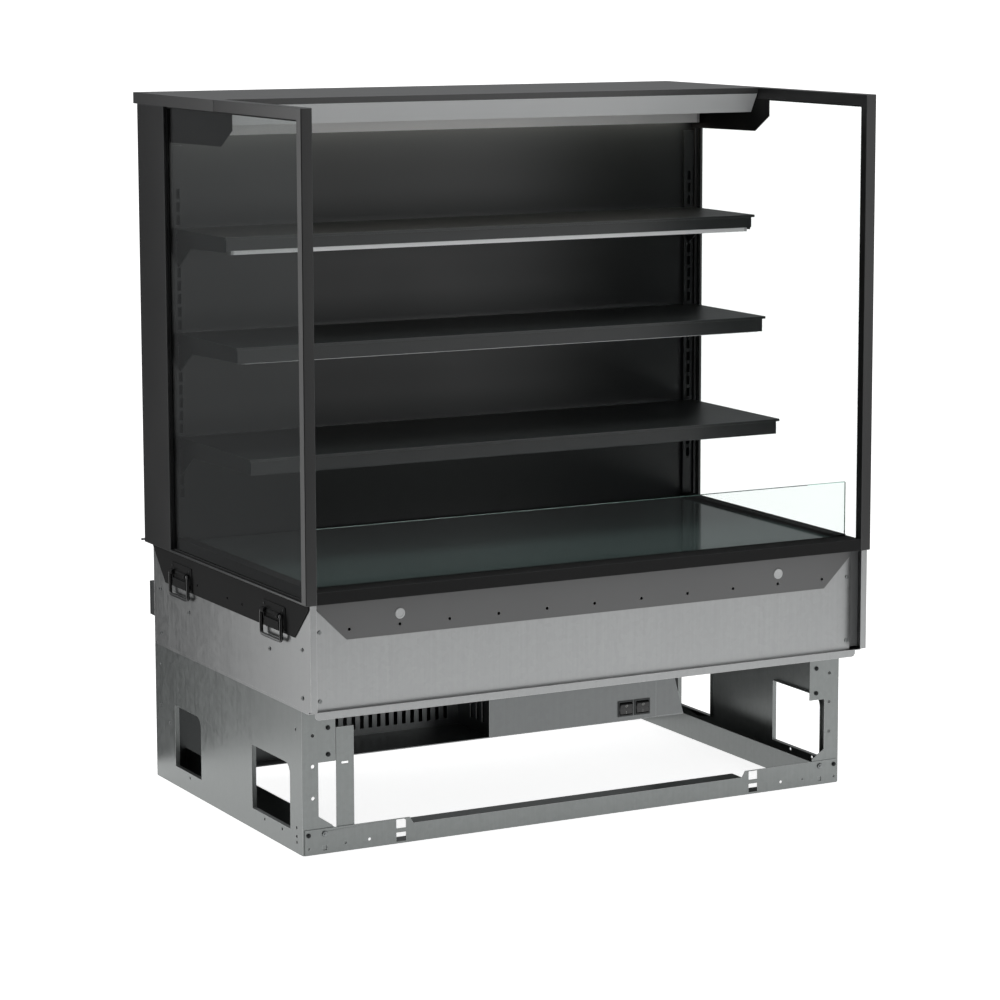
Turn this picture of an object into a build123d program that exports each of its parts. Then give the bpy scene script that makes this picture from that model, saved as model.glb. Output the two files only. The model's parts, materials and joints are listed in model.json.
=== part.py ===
from build123d import *
import os

# Open-front display case that drops into a counter, on a galvanised housing and base frame.
# Millimetres, +Z up. The customer stands on the -Y side and +X is on their right.
# The origin is on the floor, under the middle of the case's outline.

# Overall sizes
case_width = 1213.0
case_depth = 790.0
display_height = 889.0
housing_height = 200.0
base_height = 278.5

# Sheets and clearances
painted_sheet = 1.5
wall_sheet = 2.0
zinc_sheet = 1.5
base_sheet = 2.0
flat_gap = 0.3
pivot_gap = 0.15

# Side frames and their glass
frame_thickness = 22.0
front_post_depth = 20.0
back_post_depth = 134.5
frame_rear_setback = 19.0
top_rail_height = 22.0
bottom_member_height = 4.0
frame_edge_radius = 1.5
side_glass_thickness = 6.0
side_glass_recess = 8.0
glass_groove_depth = 5.0

# Roof and canopy
roof_depth = 399.0
roof_side_flange = 22.0
roof_front_flange = 12.0
roof_joint_gap = 1.0
canopy_end_setback = 348.0
canopy_end_nose = 34.0
canopy_end_chin_setback = 401.0
canopy_end_chin_drop = 66.0
canopy_end_rear_drop = 70.0
canopy_end_lug_rise = 15.0
canopy_end_lug_setback = 5.0
fascia_upright = 11.5
fascia_slope_run = 22.0
fascia_slope_drop = 37.0
fascia_tab = 38.0
fascia_lip = 8.0
canopy_lamp_side_gap = 22.5
canopy_lamp_depth = 20.0
canopy_lamp_height = 22.0
canopy_lamp_setback = 15.0

# Back wall, rear cover and the beams between them
back_wall_setback = 121.0
back_wall_rise = 4.0
back_wall_top_drop = 52.0
lower_beam_height = 26.0
upper_beam_height = 45.0
upper_beam_drop = 24.0
beam_wall = 2.0
ledge_drop_lip = 4.0
rear_lamp_side_gap = 7.5
rear_lamp_depth = 46.0
rear_lamp_height = 21.0
rear_lamp_drop = 58.0
lamp_lens_inset = 3.0
lamp_lens_depth = 1.0

# Slotted uprights
upright_width = 22.0
upright_depth = 8.0
upright_web = 2.0
upright_side_gap = 0.5
upright_top_gap = 6.0
slot_width = 8.0
slot_height = 19.0
slot_pitch = 25.4
slots_above_top_shelf = 3
slots_below_top_shelf = 20

# Shelves, with their brackets and lamps
top_shelf_drop = 257.0
slots_between_shelves = 8
upper_shelf_depth = 242.0
middle_shelf_depth = 287.0
lower_shelf_depth = 343.0
shelf_rear_gap = 6.0
shelf_side_gap = 4.5
shelf_sheet = 1.2
shelf_nose_height = 5.0
shelf_nose_overhang = 6.0
shelf_nose_side = 4.0
upper_fascia_height = 26.0
lower_fascia_height = 31.0
bracket_thickness = 3.0
bracket_front_height = 30.0
bracket_knee_height = 36.0
bracket_knee_reach = 60.0
bracket_rear_height = 63.0
bracket_edge_gap = 0.5
hook_drop = 20.0
hook_neck_height = 10.0
hook_shoulder_reach = 1.0
hook_shoulder_height = 9.0
hook_crown_height = 2.0
hook_reach = 5.0
hook_tail_length = 8.0
hook_tail_gap = 2.5
tongue_reach = 2.0
tongue_slots_down = 2
shelf_lamp_depth = 14.0
shelf_lamp_height = 12.0
shelf_lamp_side_gap = 5.0
upper_lamp_show = 8.0
middle_lamp_show = 1.0
lower_lamp_show = 0.0

# Deck, its rails and the guard glass
front_rail_setback = 1.0
front_rail_depth = 53.0
front_rail_height = 23.0
front_rail_wall = 3.0
guard_glass_thickness = 6.0
guard_glass_setback = 45.0
guard_glass_height = 120.0
guard_glass_end_gap = 7.5
guard_groove_depth = 12.0
side_rail_width = 24.0
side_rail_height = 25.0
side_rail_wall = 1.5
deck_pan_rise = 19.0
deck_pan_flange = 12.0
deck_pan_side_gap = 2.5
deck_pan_front_gap = 0.5
deck_pan_rear_gap = 10.0
bearer_width = 40.0
bearer_count = 3
bearer_end_inset = 80.0

# Front apron and its plugs
apron_side_gap = 9.5
apron_corner_run = 60.0
apron_top_drop = 2.0
apron_height = 71.0
apron_square_height = 12.0
apron_hole_count = 11
apron_hole_end_gap = 5.0
apron_hole_radius = 3.0
apron_hole_rise = 19.0
holes_between_plugs = 8
plug_rise = 39.0
plug_head_radius = 10.0
plug_head_height = 1.5
plug_shank_radius = 7.7
plug_shank_length = 6.0

# Side skirts with the fold-down handles
skirt_front_setback = 3.0
skirt_height = 68.0
skirt_square_front = 8.0
skirt_square_rear = 2.5
skirt_front_taper = 61.5
skirt_rear_taper = 62.0
skirt_hole_radius = 2.5
skirt_hole_drop = 47.0
skirt_hole_setbacks = (301.0, 371.0, 516.0)
handle_end_inset = 152.0
handle_plate_width = 100.0
handle_plate_height = 44.0
handle_plate_drop = 19.0
handle_plate_thickness = 2.0
handle_plate_corner = 5.0
handle_pivot_drop = 36.0
handle_pivot_standoff = 4.8
bail_bar_radius = 3.5
bail_half_width = 44.5
bail_drop = 46.0
bail_bend = 6.0
bail_end_reach = 28.0
knuckle_radius = 5.5
knuckle_length = 12.0
knuckle_end_gap = 0.5
handle_ridge_radius = 4.0
stop_block_width = 64.0
stop_block_height = 16.0
stop_block_drop = 48.0
stop_block_thickness = 5.0

# Housing between the counter line and the base
housing_rear_setback = 46.0
housing_side_inset = 7.5
housing_side_rise = 4.0
housing_flange = 13.0
housing_front_setback = 25.5
housing_front_side_gap = 20.5
housing_front_return = 30.0
tray_setback = 15.0
tray_side_flange = 32.0
tray_lip_height = 12.5
tray_lip_side_gap = 13.5
tray_lip_corner = 8.0
screw_head_radius = 4.0
screw_head_height = 2.0
screw_shank_radius = 2.0
screw_shank_length = 6.0
side_screw_inset = 35.0
side_screw_low = 25.5
side_screw_high = 114.5
middle_screw_inset = 179.0
middle_screw_rise = 90.7
front_screw_inset = 8.0
front_screw_low = 18.0
front_screw_high = 145.0

# Supply box on the housing's back
inlet_width = 126.0
inlet_depth = 31.0
inlet_height = 68.0
inlet_rise = 52.0
inlet_side_gap = 3.0
inlet_wall = 2.0
gland_radius = 9.0
gland_nut_radius = 12.0
gland_nut_length = 8.0
gland_length = 22.0
gland_bore_radius = 5.0

# Base frame
base_side_inset = 21.5
base_setback = 73.6
base_rear_setback = 13.0
base_bottom_flange = 65.0
base_top_flange = 25.0
base_rear_flange = 25.0
base_post_width = 33.0
base_gusset_width = 68.0
base_gusset_drop = 106.5
base_foot_gusset_width = 61.0
base_foot_gusset_height = 52.0
base_foot_slope_height = 71.0
cutout_rise = 40.0
cutout_top_drop = 115.5
cutout_corner = 20.0
front_cutout_setback = 54.4
front_cutout_length = 174.0
rear_cutout_inset = 97.0
rear_cutout_length = 131.0
cutout_hem = 9.0
base_hole_radius = 3.0
base_column_inset = 26.0
base_front_column = (21.0, 32.0, 48.6)
base_front_column_drop = 45.0
base_rear_column_drops = (127.5, 46.0)
base_low_row_rise = 31.0
base_low_row_setbacks = (91.5, 171.5)
base_low_rear_inset = 169.4
base_end_hole_inset = 69.4
base_end_hole_rise = 122.0
post_hole_inset = 22.0
post_hole_radius = 3.5
post_hole_drop = 54.5
post_hole_pitch = 58.0
post_foot_hole_rise = 106.0
gusset_hole_inset = 53.0
gusset_hole_drops = (92.5, 42.5)
rail_end_gap = 4.0
rail_height = 48.0
rail_middle_height = 36.0
rail_step_inset = 218.0
rail_step_run = 7.0
rail_flange = 36.0
rail_flange_end_gap = 2.0
rear_plate_width = 100.0
rail_slot_width = 20.0
rail_slot_height = 17.0
rail_slot_inset = 200.0
rail_slot_rises = (12.5, 37.5)
rail_hole_radius = 3.0
rail_hole_insets = (135.0, 85.0)
rail_hole_rise = 16.0
rail_key_hole_radius = 4.0
rail_key_hole_inset = 44.0
rail_key_hole_rise = 38.0
rail_square_side = 9.0
rail_square_rise = 11.5
rail_end_hole_inset = 11.0
rail_end_hole_rises = (13.6, 38.0)
stay_width = 36.0
stay_gap = 1.0
stay_top_drop = 43.5
stay_foot = 10.0
stay_tab_reach = 18.0
stay_slot_length = 14.0
stay_slot_height = 4.0
stay_slot_drop = 6.0

# Equipment hung under the housing tray
equipment_side_gap = 85.0
equipment_width = 747.0
equipment_setback = 110.0
equipment_depth = 290.0
equipment_drop = 109.5
vent_setback = 240.0
vent_slot_pitch = 17.7
vent_slot_width = 8.0
vent_slot_height = 67.0
vent_slot_rise = 12.5
vent_end_margin = 10.0
vent_length = 320.0
end_cover_length = 62.0
box_slot_count = 3
box_slot_pitch = 24.0
box_slot_setback = 26.0
box_slot_height = 60.0
box_slot_rise = 24.0
box_slot_width = 8.0
cover_shoulder = 43.0
cover_shoulder_drop = 38.5
switch_end_gap = 31.0
switch_pitch = 37.0
switch_rise = 23.0
bezel_width = 34.0
bezel_height = 31.0
bezel_proud = 2.0
bezel_body_width = 32.0
bezel_body_height = 29.0
bezel_body_depth = 20.0
rocker_pocket_width = 28.0
rocker_pocket_depth = 15.0
rocker_radius = 12.2
rocker_pivot_depth = 5.0
rocker_edge_reach = 9.0
rocker_middle_reach = 5.5
rocker_rear_reach = 4.0
rocker_rest_angle = 6.0
rocker_pin_radius = 1.5
rocker_pin_length = 1.7
driver_length = 160.0
driver_width = 60.0
driver_height = 35.0
driver_box_gap = 30.0
driver_setback = 150.0
driver_ear_length = 10.0
driver_ear_height = 3.0
terminal_pole_pitch = 14.0
terminal_poles = 6
terminal_depth = 26.0
terminal_height = 20.0
terminal_box_gap = 220.0
terminal_setback = 200.0
terminal_screw_radius = 2.5
terminal_screw_depth = 6.0

# Places that follow from the sizes above
half_width = case_width / 2
front = -case_depth / 2
rear = case_depth / 2
tray_top = base_height + zinc_sheet
counter_z = tray_top + housing_height
roof_z = counter_z + display_height
frame_inner = half_width - frame_thickness
frame_rear = rear - frame_rear_setback
window_front = front + front_post_depth
window_rear = frame_rear - back_post_depth
window_bottom = counter_z + bottom_member_height
window_top = roof_z - top_rail_height
side_glass_outer = half_width - side_glass_recess
side_glass_inner = side_glass_outer - side_glass_thickness
roof_front = rear - roof_depth
roof_under = roof_z - painted_sheet
canopy_end_inner = frame_inner - wall_sheet
canopy_lamp_width = 2 * (canopy_end_inner - canopy_lamp_side_gap)
rear_lamp_width = 2 * (canopy_end_inner - rear_lamp_side_gap)
fascia_front = roof_front + painted_sheet
back_wall = frame_rear - back_wall_setback
back_wall_rear = back_wall + wall_sheet
rear_cover_front = frame_rear - painted_sheet
wall_bottom = counter_z + back_wall_rise
upright_front = back_wall - upright_depth
upright_web_rear = upright_front + upright_web
upright_outer = frame_inner - upright_side_gap
upright_centre = upright_outer - upright_width / 2
upright_top = window_top - canopy_end_rear_drop - upright_top_gap
top_shelf_z = roof_z - top_shelf_drop
shelf_spacing = slots_between_shelves * slot_pitch
shelf_half = frame_inner - shelf_side_gap
shelf_rear = upright_front - shelf_rear_gap
front_rail_front = front + front_rail_setback
front_rail_rear = front_rail_front + front_rail_depth
front_rail_top = counter_z + front_rail_height
side_rail_inner = frame_inner - side_rail_width
side_rail_top = counter_z + side_rail_height
guard_front = front + guard_glass_setback
guard_bottom = front_rail_top - guard_groove_depth
guard_half = frame_inner - guard_glass_end_gap
deck_pan_top = counter_z + deck_pan_rise
deck_pan_under = deck_pan_top - painted_sheet
deck_pan_half = side_rail_inner - deck_pan_side_gap
deck_pan_front = front_rail_rear + deck_pan_front_gap
deck_pan_rear = back_wall - deck_pan_rear_gap
housing_outer = half_width - housing_side_inset
housing_inner = housing_outer - zinc_sheet
housing_depth = case_depth - housing_rear_setback
housing_rear = front + housing_depth
housing_middle = front + housing_depth / 2
housing_front = front + housing_front_setback
housing_front_width = 2 * (housing_inner - housing_front_side_gap)
side_screw_spread = housing_depth - 2 * side_screw_inset
middle_screw_spread = housing_depth - 2 * middle_screw_inset
front_screw_spread = housing_front_width - 2 * front_screw_inset
tray_front = front + tray_setback
tray_lip_width = 2 * (housing_inner - tray_lip_side_gap)
apron_front = housing_front - painted_sheet
apron_top = counter_z - apron_top_drop
apron_bottom = apron_top - apron_height
apron_width = 2 * (frame_inner - apron_side_gap)
apron_lower_width = apron_width - 2 * apron_corner_run
apron_hole_spread = apron_lower_width - 2 * apron_hole_end_gap
apron_hole_pitch = apron_hole_spread / (apron_hole_count - 1)
plug_spread = holes_between_plugs * apron_hole_pitch
skirt_outer = housing_outer + wall_sheet
skirt_bottom = counter_z - skirt_height
handle_face = skirt_outer + handle_plate_thickness
handle_pivot_x = handle_face + handle_pivot_standoff
handle_pivot_z = counter_z - handle_pivot_drop
handle_spread = housing_depth - 2 * handle_end_inset
base_width = case_width - 2 * base_side_inset
base_depth = case_depth - base_setback - base_rear_setback
base_half = base_width / 2
base_inner = base_half - base_sheet
base_front = front + base_setback
base_rear = base_front + base_depth
rail_front = base_front - base_sheet
cutout_top = base_height - cutout_top_drop
rear_cutout_setback = base_depth - rear_cutout_inset - rear_cutout_length
rail_half = base_half - rail_end_gap
rail_step_half = base_half - rail_step_inset
equipment_left = -base_half + equipment_side_gap
equipment_right = equipment_left + equipment_width
equipment_front = front + equipment_setback
equipment_rear = equipment_front + equipment_depth
equipment_floor = base_height - equipment_drop
equipment_floor_top = equipment_floor + zinc_sheet
vent_front = front + vent_setback
box_left = equipment_left + vent_length
box_right = equipment_right - end_cover_length
switch_first = box_right - switch_end_gap - switch_pitch
driver_left = box_left + driver_box_gap
terminal_left = box_left + terminal_box_gap


def block(x_span, y_span, z_span, mode=Mode.ADD):
    """Add or cut a box given by its two limits along each axis."""
    sizes = [abs(span[1] - span[0]) for span in (x_span, y_span, z_span)]
    middle = [(span[0] + span[1]) / 2 for span in (x_span, y_span, z_span)]
    with Locations(tuple(middle)):
        Box(*sizes, mode=mode)


def side_plane(x):
    """A plane across the case at x, drawn in y and z."""
    return Plane.YZ.offset(x)


def front_plane(y):
    """A plane along the case at y, drawn in x and z."""
    return Plane.XZ.offset(-y)


def outline(plane, points):
    """A closed straight-sided face on a plane."""
    with BuildSketch(plane) as face:
        with BuildLine():
            Polyline(*points, close=True)
        make_face()
    return face.sketch


def bent_sheet(plane, points, thickness, side=Side.LEFT):
    """The edge view of a bent sheet whose outer skin runs through the points."""
    with BuildSketch(plane) as face:
        with BuildLine():
            Polyline(*points)
            offset(amount=thickness, side=side, kind=Kind.INTERSECTION)
        make_face()
    return face.sketch


def round_cuts(plane, centres, radius, depth):
    """Drill round holes at the centres, from a plane through a depth."""
    with BuildSketch(plane) as circles:
        with Locations(*centres):
            Circle(radius)
    extrude(circles.sketch, amount=depth, mode=Mode.SUBTRACT)


def square_cuts(plane, centres, width, height, depth):
    """Punch rectangular holes at the centres, from a plane through a depth."""
    with BuildSketch(plane) as rectangles:
        with Locations(*centres):
            Rectangle(width, height)
    extrude(rectangles.sketch, amount=depth, mode=Mode.SUBTRACT)


def mirrored(piece):
    """The same piece on the right-hand side of the case."""
    with BuildPart() as twin:
        mirror(piece.part, about=Plane.YZ)
    return twin


def save(piece, name):
    """Label a finished piece and write its file."""
    piece.part.label = name
    export_step(piece.part, "parts/" + name + ".step")


def save_pair(piece, name):
    """Write a left-hand piece and its mirror image."""
    save(piece, name + "_left")
    save(mirrored(piece), name + "_right")


# Side frames, glass and roof

def make_side_frame():
    """Left frame: two posts, a top rail and a thin bottom member round a glass groove."""
    groove_inner = side_glass_inner - flat_gap
    groove_outer = side_glass_outer + flat_gap
    with BuildPart() as frame:
        block((-half_width, -frame_inner), (front, frame_rear), (counter_z, roof_z))
        outer_edges = frame.edges().filter_by(Axis.Z).group_by(Axis.X)[0]
        fillet(outer_edges, radius=frame_edge_radius)
        block((-half_width, -frame_inner), (window_front, window_rear),
              (window_bottom, window_top), mode=Mode.SUBTRACT)
        block((-groove_outer, -groove_inner),
              (window_front - glass_groove_depth, window_rear + glass_groove_depth),
              (window_bottom, window_top + glass_groove_depth), mode=Mode.SUBTRACT)
        block((-half_width, -frame_inner), (roof_front - roof_joint_gap, frame_rear),
              (roof_under, roof_z), mode=Mode.SUBTRACT)
        block((-half_width, painted_sheet - half_width),
              (roof_front - roof_joint_gap, frame_rear),
              (roof_z - roof_side_flange, roof_z), mode=Mode.SUBTRACT)
    return frame


def make_side_glass():
    """Left pane, standing on the bottom member with its other edges in the groove."""
    edge = glass_groove_depth - flat_gap
    with BuildPart() as glass:
        block((-side_glass_outer, -side_glass_inner), (window_front - edge, window_rear + edge),
              (window_bottom, window_top + edge))
    return glass


def make_roof_panel():
    """Roof pan with deep flanges at the sides and back and a shallow one in front."""
    flange_bottom = roof_z - roof_side_flange
    inner_half = half_width - painted_sheet
    with BuildPart() as roof:
        block((-half_width, half_width), (roof_front, rear), (roof_under, roof_z))
        for side in (-1, 1):
            block((side * inner_half, side * half_width), (roof_front, rear),
                  (flange_bottom, roof_z))
        block((-half_width, half_width), (rear - painted_sheet, rear), (flange_bottom, roof_z))
        block((flat_gap - frame_inner, frame_inner - flat_gap),
              (roof_front, roof_front + painted_sheet), (roof_z - roof_front_flange, roof_z))
    return roof


def make_canopy_end():
    """Left end plate of the canopy, screwed to the inside of the top rail."""
    lug_front = roof_front + canopy_end_lug_setback
    points = (
        (back_wall, window_top + canopy_end_lug_rise),
        (lug_front, window_top + canopy_end_lug_rise),
        (lug_front, window_top),
        (front + canopy_end_setback, window_top),
        (front + canopy_end_setback, window_top - canopy_end_nose),
        (front + canopy_end_chin_setback, window_top - canopy_end_chin_drop),
        (back_wall, window_top - canopy_end_rear_drop),
    )
    with BuildPart() as plate:
        extrude(outline(side_plane(-frame_inner), points), amount=wall_sheet)
    return plate


def make_canopy_fascia():
    """Sloped front of the canopy, hung from the roof by its top tab."""
    bend_z = roof_under - fascia_upright
    chin_y = fascia_front + fascia_slope_run
    chin_z = bend_z - fascia_slope_drop
    points = (
        (fascia_front + fascia_tab, roof_under),
        (fascia_front, roof_under),
        (fascia_front, bend_z),
        (chin_y, chin_z),
        (chin_y + fascia_lip, chin_z),
    )
    half = canopy_end_inner - flat_gap
    with BuildPart() as fascia:
        extrude(bent_sheet(side_plane(-half), points, painted_sheet), amount=2 * half)
    return fascia


def make_canopy_lamp():
    """Lamp bar under the fascia's tab, with its lens facing down."""
    lamp_front = fascia_front + canopy_lamp_setback
    lamp_top = roof_under - painted_sheet
    lamp_bottom = lamp_top - canopy_lamp_height
    half = canopy_lamp_width / 2
    with BuildPart() as lamp:
        block((-half, half), (lamp_front, lamp_front + canopy_lamp_depth),
              (lamp_bottom, lamp_top))
        block((lamp_lens_inset - half, half - lamp_lens_inset),
              (lamp_front + lamp_lens_inset, lamp_front + canopy_lamp_depth - lamp_lens_inset),
              (lamp_bottom, lamp_bottom + lamp_lens_depth), mode=Mode.SUBTRACT)
    return lamp


def make_rear_lamp():
    """Wide lamp housing along the top of the back wall, with its lens facing down."""
    lamp_top = roof_z - rear_lamp_drop
    lamp_bottom = lamp_top - rear_lamp_height
    lamp_front = back_wall - rear_lamp_depth
    half = rear_lamp_width / 2
    with BuildPart() as lamp:
        block((-half, half), (lamp_front, back_wall), (lamp_bottom, lamp_top))
        block((lamp_lens_inset - half, half - lamp_lens_inset),
              (lamp_front + lamp_lens_inset, back_wall - lamp_lens_inset),
              (lamp_bottom, lamp_bottom + lamp_lens_depth), mode=Mode.SUBTRACT)
    return lamp


# Back wall

def make_back_panel():
    """Inner back wall between the side frames."""
    with BuildPart() as panel:
        block((-frame_inner, frame_inner), (back_wall, back_wall_rear),
              (wall_bottom, roof_z - back_wall_top_drop))
    return panel


def make_rear_cover():
    """Outer back cover, folded out at the bottom into a ledge as wide as the case."""
    ledge_top = counter_z + ledge_drop_lip
    with BuildPart() as cover:
        block((-frame_inner, frame_inner), (rear_cover_front, frame_rear),
              (counter_z, roof_z - top_rail_height))
        block((-half_width, half_width), (frame_rear, rear),
              (ledge_top - painted_sheet, ledge_top))
        block((-half_width, half_width), (rear - painted_sheet, rear), (counter_z, ledge_top))
    return cover


def make_rear_beams():
    """Two square tubes that join the back posts, between the wall and the cover."""
    upper_top = roof_z - upper_beam_drop
    spans = (
        (wall_bottom, wall_bottom + lower_beam_height),
        (upper_top - upper_beam_height, upper_top),
    )
    with BuildPart() as beams:
        for low, high in spans:
            block((-frame_inner, frame_inner), (back_wall_rear, rear_cover_front), (low, high))
            block((-frame_inner, frame_inner),
                  (back_wall_rear + beam_wall, rear_cover_front - beam_wall),
                  (low + beam_wall, high - beam_wall), mode=Mode.SUBTRACT)
    return beams


# Slotted uprights and shelves

def slot_floor(step):
    """Height of a slot's lower edge, counted in slots from the upper shelf's hook."""
    return top_shelf_z - hook_drop + step * slot_pitch


def make_shelf_upright():
    """Left slotted upright: a channel with its open side against the back wall."""
    centre = -upright_centre
    half = upright_width / 2
    steps = range(-slots_below_top_shelf, slots_above_top_shelf + 1)
    slot_centres = [(centre, slot_floor(step) + slot_height / 2) for step in steps]
    with BuildPart() as upright:
        block((centre - half, centre + half), (upright_front, back_wall),
              (side_rail_top, upright_top))
        block((centre - half + upright_web, centre + half - upright_web),
              (upright_web_rear, back_wall),
              (side_rail_top, upright_top), mode=Mode.SUBTRACT)
        square_cuts(front_plane(upright_front), slot_centres, slot_width, slot_height,
                    -upright_web)
    return upright


def make_shelf(shelf_top, depth, fascia_height):
    """Shelf folded from sheet: a flat top, an overhanging nose and a fascia below it."""
    nose = shelf_rear - depth
    fascia_y = nose + shelf_nose_overhang
    points = (
        (shelf_rear, shelf_top),
        (nose, shelf_top),
        (nose, shelf_top - shelf_nose_height),
        (fascia_y, shelf_top - shelf_nose_height),
        (fascia_y, shelf_top - fascia_height),
    )
    with BuildPart() as shelf:
        profile = bent_sheet(side_plane(-shelf_half), points, shelf_sheet)
        extrude(profile, amount=2 * shelf_half)
        for side in (-1, 1):
            block((side * (shelf_half - shelf_nose_side), side * shelf_half), (nose, shelf_rear),
                  (shelf_top - fascia_height, shelf_top - shelf_nose_height),
                  mode=Mode.SUBTRACT)
    return shelf


def bracket_outline(shelf_top, depth):
    """Points of a bracket: a tapered arm, a hook in one slot and a tongue in a lower one."""
    hook_z = shelf_top - hook_drop
    tongue_z = hook_z - tongue_slots_down * slot_pitch + flat_gap
    arm_top = shelf_top - shelf_sheet
    arm_front = shelf_rear - depth + shelf_nose_overhang + shelf_sheet + flat_gap
    arm_rear = upright_front - bracket_edge_gap
    knee = upright_front - bracket_knee_reach
    return (
        (arm_front, arm_top),
        (arm_front, shelf_top - bracket_front_height),
        (knee, shelf_top - bracket_knee_height),
        (arm_rear, shelf_top - bracket_rear_height - slot_pitch / 2),
        (arm_rear, tongue_z),
        (upright_web_rear + tongue_reach, tongue_z),
        (upright_web_rear + tongue_reach, tongue_z + hook_neck_height),
        (arm_rear, tongue_z + hook_neck_height),
        (arm_rear, hook_z),
        (upright_web_rear + hook_tail_gap, hook_z),
        (upright_web_rear + hook_tail_gap, hook_z - hook_tail_length),
        (upright_web_rear + hook_reach, hook_z - hook_tail_length),
        (upright_web_rear + hook_reach, hook_z + hook_crown_height),
        (upright_web_rear + hook_shoulder_reach, hook_z + hook_shoulder_height),
        (arm_rear, hook_z + hook_neck_height),
        (shelf_rear, arm_top),
    )


def make_shelf_brackets(shelf_top, depth):
    """The two bracket plates under one shelf."""
    half = bracket_thickness / 2
    points = bracket_outline(shelf_top, depth)
    with BuildPart() as brackets:
        for side in (-1, 1):
            plane = side_plane(side * upright_centre - half)
            extrude(outline(plane, points), amount=bracket_thickness)
    return brackets


def make_shelf_lamp(shelf_top, depth, fascia_height, show):
    """Lamp bar fixed to the back of a shelf's fascia, showing below its edge."""
    lamp_front = shelf_rear - depth + shelf_nose_overhang + shelf_sheet
    lamp_bottom = shelf_top - fascia_height - show
    half = upright_centre - bracket_thickness / 2 - shelf_lamp_side_gap
    with BuildPart() as lamp:
        block((-half, half), (lamp_front, lamp_front + shelf_lamp_depth),
              (lamp_bottom, lamp_bottom + shelf_lamp_height))
    return lamp


def save_shelf(name, level, depth, fascia_height, lamp_show):
    """Write one shelf with its brackets and its lamp."""
    shelf_top = top_shelf_z - level * shelf_spacing
    save(make_shelf(shelf_top, depth, fascia_height), name)
    save(make_shelf_brackets(shelf_top, depth), name + "_brackets")
    save(make_shelf_lamp(shelf_top, depth, fascia_height, lamp_show), name + "_lamp")


# Deck and guard glass

def make_deck_front_rail():
    """Front rail of the deck: a flat tube with the guard glass groove along its back."""
    hollow_rear = guard_front - flat_gap - front_rail_wall
    with BuildPart() as rail:
        block((-frame_inner, frame_inner), (front_rail_front, front_rail_rear),
              (counter_z, front_rail_top))
        block((-frame_inner, frame_inner), (front_rail_front + front_rail_wall, hollow_rear),
              (counter_z + front_rail_wall, front_rail_top - front_rail_wall),
              mode=Mode.SUBTRACT)
        block((-guard_half - flat_gap, guard_half + flat_gap),
              (guard_front - flat_gap, guard_front + guard_glass_thickness + flat_gap),
              (guard_bottom, front_rail_top), mode=Mode.SUBTRACT)
    return rail


def make_guard_glass():
    """Low pane in the front rail's groove."""
    with BuildPart() as glass:
        block((-guard_half, guard_half), (guard_front, guard_front + guard_glass_thickness),
              (guard_bottom, guard_bottom + guard_glass_height))
    return glass


def make_deck_side_rails():
    """The tubes along both sides of the deck."""
    with BuildPart() as rails:
        for side in (-1, 1):
            block((side * side_rail_inner, side * frame_inner), (front_rail_rear, back_wall),
                  (counter_z, side_rail_top))
            block((side * (side_rail_inner + side_rail_wall),
                   side * (frame_inner - side_rail_wall)), (front_rail_rear, back_wall),
                  (counter_z + side_rail_wall, side_rail_top - side_rail_wall),
                  mode=Mode.SUBTRACT)
    return rails


def make_deck_bearers():
    """Cross tubes between the side rails that carry the deck pan."""
    first = deck_pan_front + bearer_end_inset
    step = (deck_pan_rear - deck_pan_front - 2 * bearer_end_inset) / (bearer_count - 1)
    half = bearer_width / 2
    with BuildPart() as bearers:
        for index in range(bearer_count):
            middle = first + index * step
            block((-side_rail_inner, side_rail_inner), (middle - half, middle + half),
                  (counter_z, deck_pan_under))
            block((-side_rail_inner, side_rail_inner),
                  (middle - half + side_rail_wall, middle + half - side_rail_wall),
                  (counter_z + side_rail_wall, deck_pan_under - side_rail_wall),
                  mode=Mode.SUBTRACT)
    return bearers


def make_deck_pan():
    """Lift-out deck pan, folded down along its front and back edges."""
    points = (
        (deck_pan_rear, deck_pan_top - deck_pan_flange),
        (deck_pan_rear, deck_pan_top),
        (deck_pan_front, deck_pan_top),
        (deck_pan_front, deck_pan_top - deck_pan_flange),
    )
    with BuildPart() as pan:
        profile = bent_sheet(side_plane(-deck_pan_half), points, painted_sheet)
        extrude(profile, amount=2 * deck_pan_half)
    return pan


# Front apron

def plug_centres():
    """Places of the two plugs on the front."""
    return [(side * plug_spread / 2, apron_bottom + plug_rise) for side in (-1, 1)]


def apron_holes():
    """Places of the fixing holes across the front."""
    first = -apron_hole_spread / 2
    height = apron_bottom + apron_hole_rise
    return [(first + index * apron_hole_pitch, height) for index in range(apron_hole_count)]


def make_front_apron():
    """Trim plate under the front rail, with cut lower corners and a row of holes."""
    half = apron_width / 2
    lower_half = apron_lower_width / 2
    shoulder = apron_top - apron_square_height
    points = (
        (-half, apron_top),
        (-half, shoulder),
        (-lower_half, apron_bottom),
        (lower_half, apron_bottom),
        (half, shoulder),
        (half, apron_top),
    )
    with BuildPart() as apron:
        extrude(outline(front_plane(apron_front), points), amount=-painted_sheet)
        round_cuts(front_plane(apron_front), apron_holes(), apron_hole_radius, -painted_sheet)
        round_cuts(front_plane(apron_front), plug_centres(), plug_shank_radius + flat_gap,
                   -painted_sheet)
    return apron


def make_apron_plugs():
    """Two snap-in plugs with a flat round head."""
    with BuildPart() as plugs:
        with BuildSketch(front_plane(apron_front - plug_head_height)):
            with Locations(*plug_centres()):
                Circle(plug_head_radius)
        extrude(amount=-plug_head_height)
        with BuildSketch(front_plane(apron_front)):
            with Locations(*plug_centres()):
                Circle(plug_shank_radius)
        extrude(amount=-plug_shank_length)
    return plugs


# Side skirts and fold-down handles

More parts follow.
